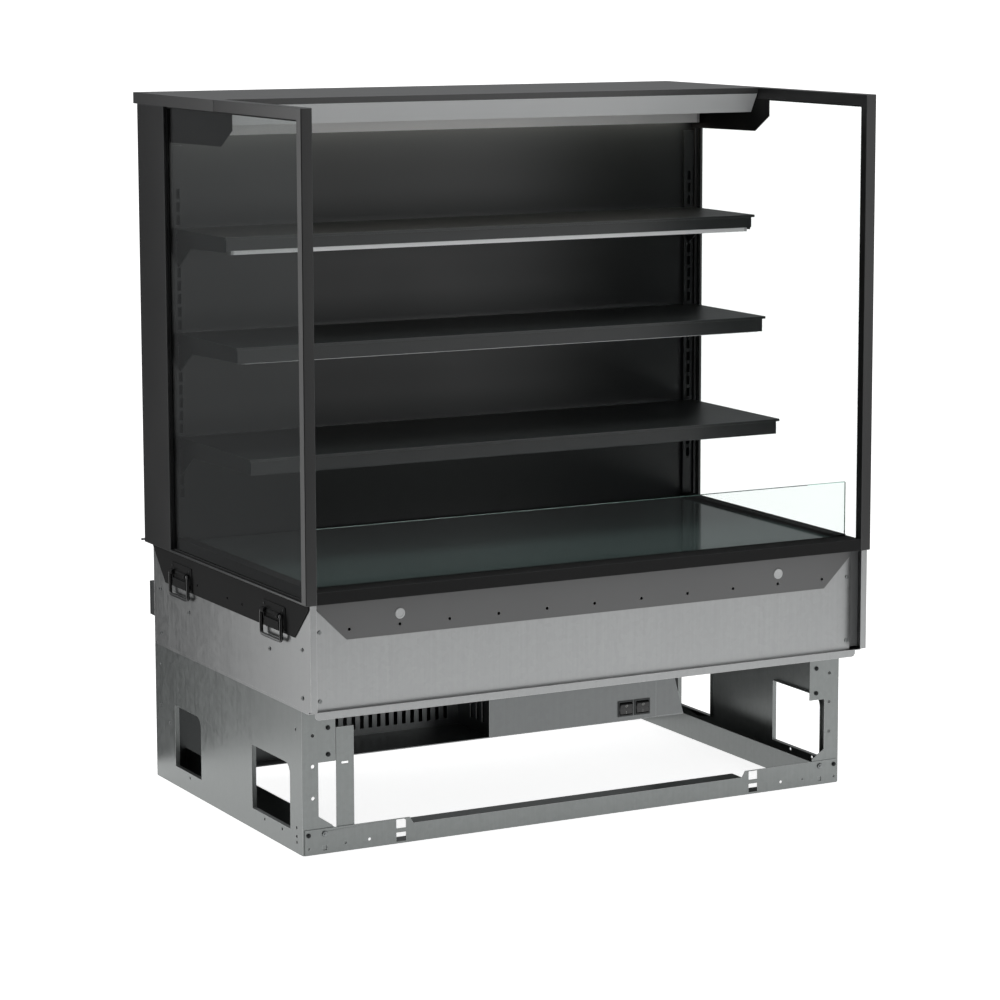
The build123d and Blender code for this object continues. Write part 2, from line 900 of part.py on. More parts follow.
def make_side_skirt():
    """Left skirt plate below the side frame."""
    skirt_front = front + skirt_front_setback
    skirt_rear = housing_rear - wall_sheet
    points = (
        (skirt_front, counter_z),
        (skirt_rear, counter_z),
        (skirt_rear, counter_z - skirt_square_rear),
        (skirt_rear - skirt_rear_taper, skirt_bottom),
        (skirt_front + skirt_front_taper, skirt_bottom),
        (skirt_front, counter_z - skirt_square_front),
    )
    holes = [(front + setback, counter_z - skirt_hole_drop) for setback in skirt_hole_setbacks]
    with BuildPart() as skirt:
        extrude(outline(side_plane(-skirt_outer), points), amount=wall_sheet)
        round_cuts(side_plane(-skirt_outer), holes, skirt_hole_radius, wall_sheet)
    return skirt


def handle_centre(place):
    """Distance along y of the front (-1) or rear (1) handle."""
    return housing_middle + place * handle_spread / 2


def make_handle_plate(place):
    """Left-hand handle plate with a ridge, two knuckles and a stop block."""
    centre = handle_centre(place)
    width_span = (centre - handle_plate_width / 2, centre + handle_plate_width / 2)
    plate_top = counter_z - handle_plate_drop
    block_top = counter_z - stop_block_drop
    outer_knuckle = bail_half_width - bail_bend - knuckle_end_gap
    with BuildPart() as plate:
        with BuildSketch(side_plane(-handle_face)):
            with Locations((centre, plate_top - handle_plate_height / 2)):
                RectangleRounded(handle_plate_width, handle_plate_height, handle_plate_corner)
        extrude(amount=handle_plate_thickness)
        block((-handle_face - stop_block_thickness, -handle_face),
              (centre - stop_block_width / 2, centre + stop_block_width / 2),
              (block_top - stop_block_height, block_top))
        with BuildSketch(Plane.XZ.offset(-(centre - outer_knuckle))):
            with Locations((-handle_face, handle_pivot_z)):
                Circle(handle_ridge_radius)
        extrude(amount=-2 * outer_knuckle)
        for side in (-1, 1):
            near = centre + side * outer_knuckle
            with BuildSketch(Plane.XZ.offset(-near)):
                with Locations((-handle_pivot_x, handle_pivot_z)):
                    Circle(knuckle_radius)
            extrude(amount=side * knuckle_length)
        block((-skirt_outer, -housing_inner), width_span, (skirt_bottom, counter_z),
              mode=Mode.SUBTRACT)
        for side in (-1, 1):
            near = centre + side * outer_knuckle
            with BuildSketch(Plane.XZ.offset(-near)):
                with Locations((-handle_pivot_x, handle_pivot_z)):
                    Circle(bail_bar_radius + pivot_gap)
            extrude(amount=side * knuckle_length, mode=Mode.SUBTRACT)
    return plate


def make_handle_plates():
    """All four handle plates."""
    with BuildPart() as plates:
        for place in (-1, 1):
            one = make_handle_plate(place)
            add(one.part)
            mirror(one.part, about=Plane.YZ)
    return plates


def make_handle_bail(place):
    """Left-hand round-bar bail, hanging down from its knuckles."""
    centre = handle_centre(place)
    low = handle_pivot_z - bail_drop
    points = (
        (centre - bail_end_reach, handle_pivot_z),
        (centre - bail_half_width, handle_pivot_z),
        (centre - bail_half_width, low),
        (centre + bail_half_width, low),
        (centre + bail_half_width, handle_pivot_z),
        (centre + bail_end_reach, handle_pivot_z),
    )
    with BuildPart() as bail:
        with BuildLine(side_plane(-handle_pivot_x)) as path:
            FilletPolyline(*points, radius=bail_bend)
        with BuildSketch(Plane.XZ.offset(-(centre - bail_end_reach))):
            with Locations((-handle_pivot_x, handle_pivot_z)):
                Circle(bail_bar_radius)
        sweep(path=path.line)
    return bail


# Housing

def side_screw_centres():
    """Places of the screws on a housing side, as y and z."""
    places = []
    for side in (-1, 1):
        corner = housing_middle + side * side_screw_spread / 2
        places.append((corner, tray_top + side_screw_low))
        places.append((corner, tray_top + side_screw_high))
        places.append((housing_middle + side * middle_screw_spread / 2,
                       tray_top + middle_screw_rise))
    return places


def front_screw_centres():
    """Places of the screws on the housing front, as x and z."""
    return [(side * front_screw_spread / 2, tray_top + rise)
            for side in (-1, 1) for rise in (front_screw_low, front_screw_high)]


def make_housing_side():
    """Left housing side, with a flange folded in at the front and the back."""
    low = tray_top + housing_side_rise
    back = housing_rear - zinc_sheet
    flange_x = -housing_outer + housing_flange
    with BuildPart() as side:
        block((-housing_outer, -housing_inner), (front, back), (low, counter_z))
        block((-housing_outer, flange_x), (front, front + zinc_sheet), (low, counter_z))
        block((-housing_outer, flange_x), (back - zinc_sheet, back), (low, counter_z))
        round_cuts(side_plane(-housing_outer), side_screw_centres(),
                   screw_shank_radius + flat_gap, zinc_sheet)
    return side


def make_housing_front():
    """Housing front, with a return folded back at each end."""
    half = housing_front_width / 2
    back = housing_front + housing_front_return
    with BuildPart() as panel:
        block((-half, half), (housing_front, housing_front + zinc_sheet), (tray_top, counter_z))
        for side in (-1, 1):
            block((side * (half - zinc_sheet), side * half), (housing_front, back),
                  (tray_top, counter_z))
        round_cuts(front_plane(housing_front), front_screw_centres(),
                   screw_shank_radius + flat_gap, -zinc_sheet)
        round_cuts(front_plane(housing_front), plug_centres(), plug_shank_radius + flat_gap,
                   -zinc_sheet)
        round_cuts(front_plane(housing_front), apron_holes(), apron_hole_radius, -zinc_sheet)
    return panel


def make_housing_back():
    """Housing back, closing the sides and the tray."""
    with BuildPart() as panel:
        block((-housing_outer, housing_outer), (housing_rear - zinc_sheet, housing_rear),
              (base_height, counter_z))
    return panel


def make_housing_floor():
    """Floor tray of the housing: sides folded up, and a lip with round ends in front."""
    back = housing_rear - zinc_sheet
    lip_half = tray_lip_width / 2
    with BuildPart() as tray:
        block((-housing_inner, housing_inner), (tray_front, back), (base_height, tray_top))
        for side in (-1, 1):
            block((side * (housing_inner - zinc_sheet), side * housing_inner),
                  (tray_front, back - zinc_sheet - flat_gap),
                  (base_height, tray_top + tray_side_flange))
        block((-lip_half, lip_half), (tray_front, tray_front + zinc_sheet),
              (base_height - tray_lip_height, base_height))
        lip_corners = tray.edges().filter_by(Axis.Y).group_by(Axis.Z)[0]
        fillet(lip_corners, radius=tray_lip_corner)
        for side in (-1, 1):
            wall = side * housing_inner
            round_cuts(side_plane(wall), side_screw_centres(), screw_shank_radius + flat_gap,
                       -side * zinc_sheet)
    return tray


def make_panel_screws():
    """All screws of the housing panels, in one group of separate solids."""
    sides = side_screw_centres()
    fronts = front_screw_centres()
    with BuildPart() as screws:
        with BuildSketch(side_plane(-housing_outer - screw_head_height)):
            with Locations(*sides):
                Circle(screw_head_radius)
        extrude(amount=screw_head_height)
        with BuildSketch(side_plane(-housing_outer)):
            with Locations(*sides):
                Circle(screw_shank_radius)
        extrude(amount=screw_shank_length)
        mirror(screws.part, about=Plane.YZ)
        with BuildSketch(front_plane(housing_front - screw_head_height)):
            with Locations(*fronts):
                Circle(screw_head_radius)
        extrude(amount=-screw_head_height)
        with BuildSketch(front_plane(housing_front)):
            with Locations(*fronts):
                Circle(screw_shank_radius)
        extrude(amount=-screw_shank_length)
    return screws


# Supply box

def inlet_span():
    """Limits of the supply box along x."""
    left = -housing_outer + inlet_side_gap
    return (left, left + inlet_width)


def gland_centre():
    """Middle of the supply box's end wall, as y and z."""
    return (housing_rear + inlet_depth / 2, tray_top + inlet_rise + inlet_height / 2)


def make_power_inlet_box():
    """Terminal box on the housing back, with a hole for the gland in its inner end."""
    low = tray_top + inlet_rise
    x_span = inlet_span()
    wall_span = (x_span[0] + inlet_wall, x_span[1] - inlet_wall)
    with BuildPart() as box:
        block(x_span, (housing_rear, housing_rear + inlet_depth), (low, low + inlet_height))
        block(wall_span, (housing_rear, housing_rear + inlet_depth - inlet_wall),
              (low + inlet_wall, low + inlet_height - inlet_wall), mode=Mode.SUBTRACT)
        round_cuts(side_plane(wall_span[1]), [gland_centre()], gland_radius + flat_gap,
                   inlet_wall)
    return box


def make_cord_gland():
    """Cable gland on the supply box's inner end, with its bore along the case."""
    wall_outer = inlet_span()[1]
    with BuildPart() as gland:
        with BuildSketch(side_plane(wall_outer - inlet_wall)):
            with Locations(gland_centre()):
                Circle(gland_radius)
        extrude(amount=gland_length)
        with BuildSketch(side_plane(wall_outer)):
            with Locations(gland_centre()):
                RegularPolygon(gland_nut_radius, 6)
        extrude(amount=gland_nut_length)
        with BuildSketch(side_plane(wall_outer - inlet_wall)):
            with Locations(gland_centre()):
                Circle(gland_bore_radius)
        extrude(amount=gland_length, mode=Mode.SUBTRACT)
    return gland


# Base frame

def cutout_face(setback, length):
    """A window in the base side, with its front top corner rounded."""
    middle = base_front + setback + length / 2
    with BuildSketch(side_plane(-base_half)) as face:
        with Locations((middle, (cutout_rise + cutout_top) / 2)):
            Rectangle(length, cutout_top - cutout_rise)
        front_corners = face.vertices().group_by(Axis.X)[0]
        fillet(front_corners.sort_by(Axis.Y)[-1], radius=cutout_corner)
    return face.sketch


def post_face():
    """The base's front flange: a narrow post with a wide gusset above and a foot below."""
    post = -base_half + base_post_width
    gusset = -base_half + base_gusset_width
    foot = -base_half + base_foot_gusset_width
    step = base_height - base_gusset_drop
    points = (
        (-base_half, 0),
        (-base_half, base_height),
        (gusset, base_height),
        (gusset, step),
        (post, step),
        (post, base_foot_slope_height),
        (foot, base_foot_gusset_height),
        (foot, 0),
    )
    return outline(front_plane(base_front), points)


def base_side_holes():
    """Places of the small holes in the base side, as y and z."""
    front_rises = base_front_column + (base_height - base_front_column_drop,)
    front_column = [(base_front + base_column_inset, rise) for rise in front_rises]
    rear_column = [(base_rear - base_column_inset, base_height - drop)
                   for drop in base_rear_column_drops]
    low_row = [(base_front + setback, base_low_row_rise) for setback in base_low_row_setbacks]
    rear_pair = [(base_rear - base_low_rear_inset, base_low_row_rise),
                 (base_rear - base_end_hole_inset, base_end_hole_rise)]
    return front_column + rear_column + low_row + rear_pair


def post_holes():
    """Places of the holes in the front flange, as x and z."""
    post = -base_half + post_hole_inset
    gusset = -base_half + gusset_hole_inset
    top = base_height - post_hole_drop
    places = [(post, rise) for rise in (post_foot_hole_rise, top - post_hole_pitch, top)]
    return places + [(gusset, base_height - drop) for drop in gusset_hole_drops]


def make_base_side():
    """Left base side: a sheet with two windows and a channel folded along its foot."""
    cutouts = (
        (front_cutout_setback, front_cutout_length),
        (rear_cutout_setback, rear_cutout_length),
    )
    channel = -base_half + base_bottom_flange
    with BuildPart() as side:
        block((-base_half, -base_inner), (base_front, base_rear), (0, base_height))
        block((-base_half, channel), (base_front, base_rear), (0, base_sheet))
        block((channel - base_sheet, channel), (base_front, base_rear), (0, rail_height))
        block((-base_half, -base_half + base_top_flange), (base_front, base_rear),
              (base_height - base_sheet, base_height))
        block((-base_half, -base_half + base_rear_flange), (base_rear - base_sheet, base_rear),
              (0, base_height))
        extrude(post_face(), amount=-base_sheet)
        for setback, length in cutouts:
            hem = offset(cutout_face(setback, length), amount=base_sheet, mode=Mode.PRIVATE)
            extrude(hem, amount=cutout_hem)
            extrude(cutout_face(setback, length), amount=cutout_hem, mode=Mode.SUBTRACT)
        round_cuts(side_plane(-base_half), base_side_holes(), base_hole_radius, base_sheet)
        round_cuts(front_plane(base_front), post_holes(), post_hole_radius, -base_sheet)
    return side


def rail_face(y, middle_height):
    """Front view of a base rail that is higher towards its ends."""
    step_end = rail_step_half - rail_step_run
    points = (
        (-rail_half, 0),
        (-rail_half, rail_height),
        (-rail_step_half, rail_height),
        (-step_end, middle_height),
        (step_end, middle_height),
        (rail_step_half, rail_height),
        (rail_half, rail_height),
        (rail_half, 0),
    )
    return outline(front_plane(y), points)


def make_base_front_rail():
    """Front rail of the base, with slots, holes and two flanges folded back."""
    inner = base_half - base_gusset_width - rail_flange_end_gap
    lower_half = min(inner, base_half - base_bottom_flange - rail_flange_end_gap)
    upper_half = rail_step_half - rail_step_run
    plane = front_plane(rail_front)
    slot_x = base_half - rail_slot_inset
    key_x = base_half - rail_key_hole_inset
    end_x = base_half - rail_end_hole_inset
    slots = [(side * slot_x, rise) for side in (-1, 1) for rise in rail_slot_rises]
    holes = [(side * (base_half - inset), rail_hole_rise) for side in (-1, 1)
             for inset in rail_hole_insets]
    keys = [(side * key_x, rail_key_hole_rise) for side in (-1, 1)]
    squares = [(side * key_x, rail_square_rise) for side in (-1, 1)]
    ends = [(side * end_x, rise) for side in (-1, 1) for rise in rail_end_hole_rises]
    with BuildPart() as rail:
        extrude(rail_face(rail_front, rail_middle_height), amount=-base_sheet)
        block((-lower_half, lower_half), (rail_front, base_front + rail_flange), (0, base_sheet))
        block((-upper_half, upper_half), (rail_front, base_front + rail_flange),
              (rail_middle_height - base_sheet, rail_middle_height))
        square_cuts(plane, slots, rail_slot_width, rail_slot_height, -base_sheet)
        square_cuts(plane, squares, rail_square_side, rail_square_side, -base_sheet)
        round_cuts(plane, holes, rail_hole_radius, -base_sheet)
        round_cuts(plane, keys, rail_key_hole_radius, -base_sheet)
        round_cuts(plane, ends, rail_hole_radius, -base_sheet)
    return rail


def make_base_rear_rail():
    """Rear rail of the base, behind the rear flanges, with a plate that closes one corner."""
    lower_half = base_half - base_bottom_flange - rail_flange_end_gap
    with BuildPart() as rail:
        block((-base_half, base_half), (base_rear, base_rear + base_sheet), (0, rail_height))
        block((-base_half, -base_half + rear_plate_width),
              (base_rear, base_rear + base_sheet), (0, base_height))
        block((-lower_half, lower_half), (base_rear - rail_flange, base_rear), (0, base_sheet))
    return rail


def make_front_stay():
    """Upright strap beside the left gusset, joggled behind it at the top."""
    near = -base_half + base_gusset_width + stay_gap
    far = near + stay_width
    tab_left = near - stay_tab_reach
    tab_low = base_height - base_gusset_drop + stay_gap
    stay_top = base_height - stay_top_drop
    slot = ((near + far) / 2, tab_low - stay_slot_drop)
    with BuildPart() as stay:
        block((near, far), (base_front, base_front + base_sheet), (stay_foot, stay_top))
        block((tab_left, far), (base_front + base_sheet, base_front + 2 * base_sheet),
              (tab_low, stay_top))
        square_cuts(front_plane(base_front), [slot], stay_slot_length, stay_slot_height,
                    -base_sheet)
    return stay


# Equipment under the tray

def make_equipment_tray():
    """Tray under the housing, hung from it by its rear wall."""
    with BuildPart() as tray:
        block((equipment_left, equipment_right), (equipment_front, equipment_rear),
              (equipment_floor, equipment_floor_top))
        block((equipment_left, equipment_right), (equipment_rear - zinc_sheet, equipment_rear),
              (equipment_floor, base_height))
    return tray


def make_vent_panel():
    """Upright wall with a row of tall vent slots."""
    usable = box_left - equipment_left - 2 * vent_end_margin
    count = int(usable // vent_slot_pitch)
    first = (equipment_left + box_left) / 2 - (count - 1) / 2 * vent_slot_pitch
    low = equipment_floor_top + vent_slot_rise
    slots = [(first + index * vent_slot_pitch, low + vent_slot_height / 2)
             for index in range(count)]
    with BuildPart() as panel:
        block((equipment_left, box_left), (vent_front, vent_front + zinc_sheet),
              (equipment_floor_top, base_height))
        square_cuts(front_plane(vent_front), slots, vent_slot_width, vent_slot_height,
                    -zinc_sheet)
    return panel


def switch_centres():
    """Places of the two switches on the electrical box, as x and z."""
    height = equipment_floor_top + switch_rise
    return [(switch_first + index * switch_pitch, height) for index in range(2)]


def make_electrical_box():
    """Front and sides of the electrical box, open to the tray at its back."""
    back = equipment_rear - zinc_sheet
    slots = [(equipment_front + box_slot_setback + index * box_slot_pitch,
              equipment_floor_top + box_slot_rise + box_slot_height / 2)
             for index in range(box_slot_count)]
    with BuildPart() as box:
        block((box_left, box_right), (equipment_front, equipment_front + zinc_sheet),
              (equipment_floor_top, base_height))
        block((box_left, box_left + zinc_sheet), (equipment_front, back),
              (equipment_floor_top, base_height))
        block((box_right - zinc_sheet, box_right), (equipment_front, back),
              (equipment_floor_top, base_height))
        square_cuts(side_plane(box_left), slots, box_slot_width, box_slot_height, zinc_sheet)
        square_cuts(front_plane(equipment_front), switch_centres(),
                    bezel_body_width + 2 * flat_gap, bezel_body_height + 2 * flat_gap,
                    -zinc_sheet)
    return box


def make_box_end_cover():
    """Cover at the right end of the box, with a slanted side."""
    shoulder_x = box_right + cover_shoulder
    shoulder_z = base_height - cover_shoulder_drop
    back = equipment_rear - zinc_sheet
    skin = (
        (shoulder_x, base_height),
        (shoulder_x, shoulder_z),
        (equipment_right, equipment_floor_top),
    )
    face = skin + ((box_right, equipment_floor_top), (box_right, base_height))
    with BuildPart() as cover:
        extrude(outline(front_plane(equipment_front), face), amount=-zinc_sheet)
        profile = bent_sheet(front_plane(equipment_front), skin, zinc_sheet, side=Side.RIGHT)
        extrude(profile, amount=equipment_front - back)
        block((box_right, equipment_right), (equipment_front, back),
              (equipment_floor, equipment_floor_top), mode=Mode.SUBTRACT)
    return cover


def make_switch_frames():
    """Bezels of the two rocker switches, each with a pocket and pivot sockets."""
    face_y = equipment_front - bezel_proud
    pivot_y = face_y + rocker_pivot_depth
    pocket_height = 2 * (rocker_radius + flat_gap)
    socket_reach = rocker_pocket_width / 2 + rocker_pin_length
    with BuildPart() as frames:
        with BuildSketch(front_plane(face_y)):
            with Locations(*switch_centres()):
                Rectangle(bezel_width, bezel_height)
        extrude(amount=-bezel_proud)
        with BuildSketch(front_plane(equipment_front)):
            with Locations(*switch_centres()):
                Rectangle(bezel_body_width, bezel_body_height)
        extrude(amount=-bezel_body_depth)
        square_cuts(front_plane(face_y), switch_centres(), rocker_pocket_width, pocket_height,
                    -rocker_pocket_depth)
        for x, z in switch_centres():
            with BuildSketch(side_plane(x - socket_reach)):
                with Locations((pivot_y, z)):
                    Circle(rocker_pin_radius + pivot_gap)
            extrude(amount=2 * socket_reach, mode=Mode.SUBTRACT)
    return frames


def make_rocker(index):
    """One rocker with its two pivot pins, resting in its off position."""
    x, z = switch_centres()[index]
    pivot_y = equipment_front - bezel_proud + rocker_pivot_depth
    half = rocker_pocket_width / 2 - flat_gap
    corner = rocker_radius + flat_gap
    points = (
        (-rocker_edge_reach, -corner),
        (-rocker_middle_reach, 0),
        (-rocker_edge_reach, corner),
        (rocker_rear_reach, corner),
        (rocker_rear_reach, -corner),
    )
    with BuildPart() as rocker:
        with BuildSketch(side_plane(x - half)):
            with Locations(Location((pivot_y, z, 0), (0, 0, rocker_rest_angle))):
                Circle(rocker_radius)
                Polygon(*points, align=None, mode=Mode.INTERSECT)
        extrude(amount=2 * half)
        with BuildSketch(side_plane(x - half - rocker_pin_length)):
            with Locations((pivot_y, z)):
                Circle(rocker_pin_radius)
        extrude(amount=2 * (half + rocker_pin_length))
    return rocker


def make_led_driver():
    """Supply unit for the lamps, with a fixing ear at each end."""
    near = equipment_front + driver_setback
    right = driver_left + driver_length
    with BuildPart() as driver:
        block((driver_left, right), (near, near + driver_width),
              (equipment_floor_top, equipment_floor_top + driver_height))
        block((driver_left - driver_ear_length, right + driver_ear_length),
              (near, near + driver_width),
              (equipment_floor_top, equipment_floor_top + driver_ear_height))
    return driver


def make_terminal_block():
    """Row of wire terminals with a screw well over each pole."""
    length = terminal_poles * terminal_pole_pitch
    near = equipment_front + terminal_setback
    top = equipment_floor_top + terminal_height
    wells = [(terminal_left + (index + 0.5) * terminal_pole_pitch, near + terminal_depth / 2)
             for index in range(terminal_poles)]
    with BuildPart() as terminals:
        block((terminal_left, terminal_left + length), (near, near + terminal_depth),
              (equipment_floor_top, top))
        round_cuts(Plane.XY.offset(top), wells, terminal_screw_radius, -terminal_screw_depth)
    return terminals


def save_all():
    """Make and write every piece of the case."""
    save_pair(make_side_frame(), "side_frame")
    save_pair(make_side_glass(), "side_glass")
    save(make_roof_panel(), "roof_panel")
    save_pair(make_canopy_end(), "canopy_end")
    save(make_canopy_fascia(), "canopy_fascia")
    save(make_canopy_lamp(), "canopy_lamp")
    save(make_rear_lamp(), "rear_lamp")
    save(make_back_panel(), "back_panel")
    save(make_rear_cover(), "rear_cover")
    save(make_rear_beams(), "rear_beams")
    save_pair(make_shelf_upright(), "shelf_upright")
    save_shelf("shelf_upper", 0, upper_shelf_depth, upper_fascia_height, upper_lamp_show)
    save_shelf("shelf_middle", 1, middle_shelf_depth, lower_fascia_height, middle_lamp_show)
    save_shelf("shelf_lower", 2, lower_shelf_depth, lower_fascia_height, lower_lamp_show)
    save(make_deck_front_rail(), "deck_front_rail")
    save(make_deck_side_rails(), "deck_side_rails")
    save(make_deck_bearers(), "deck_bearers")
    save(make_deck_pan(), "deck_pan")
    save(make_guard_glass(), "guard_glass")
    save(make_front_apron(), "front_apron")
    save(make_apron_plugs(), "apron_plugs")
    save_pair(make_side_skirt(), "side_skirt")
    save(make_handle_plates(), "handle_plates")
    save_pair(make_handle_bail(-1), "front_handle")
    save_pair(make_handle_bail(1), "rear_handle")
    save_pair(make_housing_side(), "housing_side")
    save(make_housing_front(), "housing_front")
    save(make_housing_back(), "housing_back")
    save(make_housing_floor(), "housing_floor")
    save(make_panel_screws(), "panel_screws")
    save(make_power_inlet_box(), "power_inlet_box")
    save(make_cord_gland(), "cord_gland")
    save_pair(make_base_side(), "base_side")
    save(make_base_front_rail(), "base_front_rail")
    save(make_base_rear_rail(), "base_rear_rail")
    save(make_front_stay(), "front_stay")
    save(make_equipment_tray(), "equipment_tray")
    save(make_vent_panel(), "vent_panel")
    save(make_electrical_box(), "electrical_box")
    save(make_box_end_cover(), "box_end_cover")
    save(make_switch_frames(), "switch_frames")
    save(make_rocker(0), "power_rocker")
    save(make_rocker(1), "light_rocker")
    save(make_led_driver(), "led_driver")
    save(make_terminal_block(), "terminal_block")


os.makedirs("parts", exist_ok=True)
save_all()
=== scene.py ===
# %% [markdown]
# # Finishing an open-front display case
#
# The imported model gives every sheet, pane and lever at its true size. This lesson dresses that
# model: it rounds the edges that a press brake or a glass grinder rounds, adds the small
# hardware, and paints each surface with a material made of nodes.

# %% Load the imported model
import itertools
import json
import math

import bpy
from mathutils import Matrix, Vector

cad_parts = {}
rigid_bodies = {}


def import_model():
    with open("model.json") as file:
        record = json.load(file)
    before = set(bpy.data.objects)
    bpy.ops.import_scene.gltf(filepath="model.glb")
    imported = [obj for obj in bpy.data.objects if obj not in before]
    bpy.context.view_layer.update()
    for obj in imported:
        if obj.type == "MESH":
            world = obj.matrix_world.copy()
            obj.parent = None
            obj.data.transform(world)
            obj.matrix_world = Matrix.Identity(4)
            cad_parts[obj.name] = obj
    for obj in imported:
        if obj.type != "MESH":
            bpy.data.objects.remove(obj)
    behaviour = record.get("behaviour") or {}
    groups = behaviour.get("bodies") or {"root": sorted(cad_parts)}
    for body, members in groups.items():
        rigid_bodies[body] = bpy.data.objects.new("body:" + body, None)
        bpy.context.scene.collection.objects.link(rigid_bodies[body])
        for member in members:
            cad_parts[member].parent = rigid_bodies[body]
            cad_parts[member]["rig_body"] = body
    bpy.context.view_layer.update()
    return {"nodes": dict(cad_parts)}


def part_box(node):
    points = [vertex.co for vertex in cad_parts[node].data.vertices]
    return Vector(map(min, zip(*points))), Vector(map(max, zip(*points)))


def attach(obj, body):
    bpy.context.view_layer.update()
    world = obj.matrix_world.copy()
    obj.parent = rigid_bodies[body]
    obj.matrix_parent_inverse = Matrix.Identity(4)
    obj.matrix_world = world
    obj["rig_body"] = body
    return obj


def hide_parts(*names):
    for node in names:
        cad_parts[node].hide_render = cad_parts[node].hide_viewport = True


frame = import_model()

scene = bpy.context.scene
nodes = frame["nodes"]
MM = 0.001

# %% [markdown]
# ## The camera
#
# A photograph is matched by standing where the photographer stood. The place, the turn and
# the lens below come from the long straight edges of the case: the camera is a little left of
# the middle, above the guard glass, and far enough away that the posts stay nearly parallel.
# A small lens shift keeps the case where the picture has it.

# %% Camera
CAMERA_PLACE = (-3.0461, -5.7737, 1.6362)
CAMERA_TURN = -28.74
CAMERA_DIP = 8.36
SENSOR_WIDTH = 36
LENS_LENGTH = 120.64
LENS_SHIFT = (-0.056, -0.0537)

bpy.ops.object.camera_add(
    location=CAMERA_PLACE,
    rotation=(math.radians(90 - CAMERA_DIP), 0, math.radians(CAMERA_TURN)))
camera = bpy.context.object
camera.name = "counter_side_camera"
camera.data.sensor_width = SENSOR_WIDTH
camera.data.lens = LENS_LENGTH
camera.data.shift_x, camera.data.shift_y = LENS_SHIFT
scene.camera = camera
print("camera lens in mm:", camera.data.lens)

# %% [markdown]
# ## Colours and nodes
#
# Colours are written as the hex values that a paint chart or a picture program shows. Blender
# computes with linear light, so one function turns them over. A second function adds a node,
# sets it and links it in one call, which keeps the recipes below short enough to read.

# %% Colour and node helpers
def linear(hex_colour):
    """An sRGB hex colour as the linear values that a socket takes."""
    parts = [int(hex_colour[place:place + 2], 16) / 255 for place in (0, 2, 4)]
    bent = [part / 12.92 if part <= 0.04045 else ((part + 0.055) / 1.055) ** 2.4
            for part in parts]
    return (*bent, 1.0)


def add_node(tree, kind, inputs=None, links=None, **settings):
    """Add one node with its settings, its fixed sockets and its links."""
    node = tree.nodes.new(kind)
    for name, value in settings.items():
        setattr(node, name, value)
    for socket, value in (inputs or {}).items():
        node.inputs[socket].default_value = value
    for socket, source in (links or {}).items():
        tree.links.new(source, node.inputs[socket])
    return node


def start_material(name):
    """An empty node tree for a new material, with the object's own coordinates."""
    material = bpy.data.materials.new(name)
    material.use_nodes = True
    tree = material.node_tree
    tree.nodes.clear()
    place = add_node(tree, "ShaderNodeTexCoord").outputs["Object"]
    return material, tree, place


print("mid grey in linear light:", round(linear("808080")[0], 3))

# %% [markdown]
# All recipes share a few steps: a soft noise, a colour between two others, a value spread out
# between two others, a fine relief, and the shader that ends the material. The rounded edges
# will carry a value named "edge", which a recipe reads to make them lighter.

# %% Steps of a recipe
# The colour mixing node keeps its colour sockets after those for other kinds of data.
MIX_SHARE, MIX_A, MIX_B, MIX_RESULT = 0, 6, 7, 2


def noise(tree, place, size, detail=2.0):
    """Soft noise whose blots are about a size wide."""
    return add_node(tree, "ShaderNodeTexNoise", {"Scale": 1 / size, "Detail": detail},
                    {"Vector": place}).outputs[0]


def mixed(tree, share, first, second):
    """The colour at a share between two, each given as hex or as a node's output."""
    mix = add_node(tree, "ShaderNodeMix", links={MIX_SHARE: share}, data_type="RGBA")
    for socket, colour in ((MIX_A, first), (MIX_B, second)):
        if isinstance(colour, str):
            mix.inputs[socket].default_value = linear(colour)
        else:
            tree.links.new(colour, mix.inputs[socket])
    return mix.outputs[MIX_RESULT]


def spread(tree, value, low, high):
    """A value of 0 to 1, spread out between two others."""
    return add_node(tree, "ShaderNodeMapRange", {"To Min": low, "To Max": high},
                    {"Value": value}).outputs[0]


def relief(tree, height, strength, depth):
    """A surface direction that follows a height, for what is too fine to model."""
    return add_node(tree, "ShaderNodeBump", {"Strength": strength, "Distance": depth},
                    {"Height": height}).outputs[0]


def edge_share(tree):
    """One on the rounded edges and nought elsewhere."""
    return add_node(tree, "ShaderNodeAttribute", attribute_name="edge").outputs["Fac"]


def surface(tree, inputs, links):
    """The shader that ends a material, joined to its output."""
    shader = add_node(tree, "ShaderNodeBsdfPrincipled", inputs, links)
    add_node(tree, "ShaderNodeOutputMaterial", links={"Surface": shader.outputs[0]})


print("recipe steps ready")

# %% [markdown]
# ## The studio
#
# The case is shown on white with hardly any shadow. A pale floor that glows gives that look,
# as a light table does: it fills its own shadows and throws light up under the base frame. It
# ends just behind the case and 2.3 m in front of it, because glass and steel mirror whatever
# lies far in front of them, and a larger white floor would turn them milky. The world is white
# where the camera sees it, also straight through glass. Every bounce of such a ray was a pass
# through a surface, so its two depths differ only by the one that the world itself adds. All
# other rays meet a dim world, darker below.

# %% Floor and world
FLOOR_SIZE = 3.2
FLOOR_PLACE = (0.72, -1.1, 0)
FLOOR_GLOW = 0.8
ROLLER_MARK = 1 / 3
WORLD_SEEN = 1.3
WORLD_ABOVE = 0.54
WORLD_BELOW = 0.1
SKY_LOW, SKY_HIGH = -0.1, 0.7


def freeze_place():
    """Move the chosen object's place, turn and size into its mesh."""
    bpy.ops.object.transform_apply(location=True, rotation=True, scale=True)


def just_added(name, size=(1, 1, 1)):
    """Name and stretch the object that a tool has just added, and freeze its place."""
    piece = bpy.context.object
    piece.name = name
    piece.scale = size
    freeze_place()
    return piece


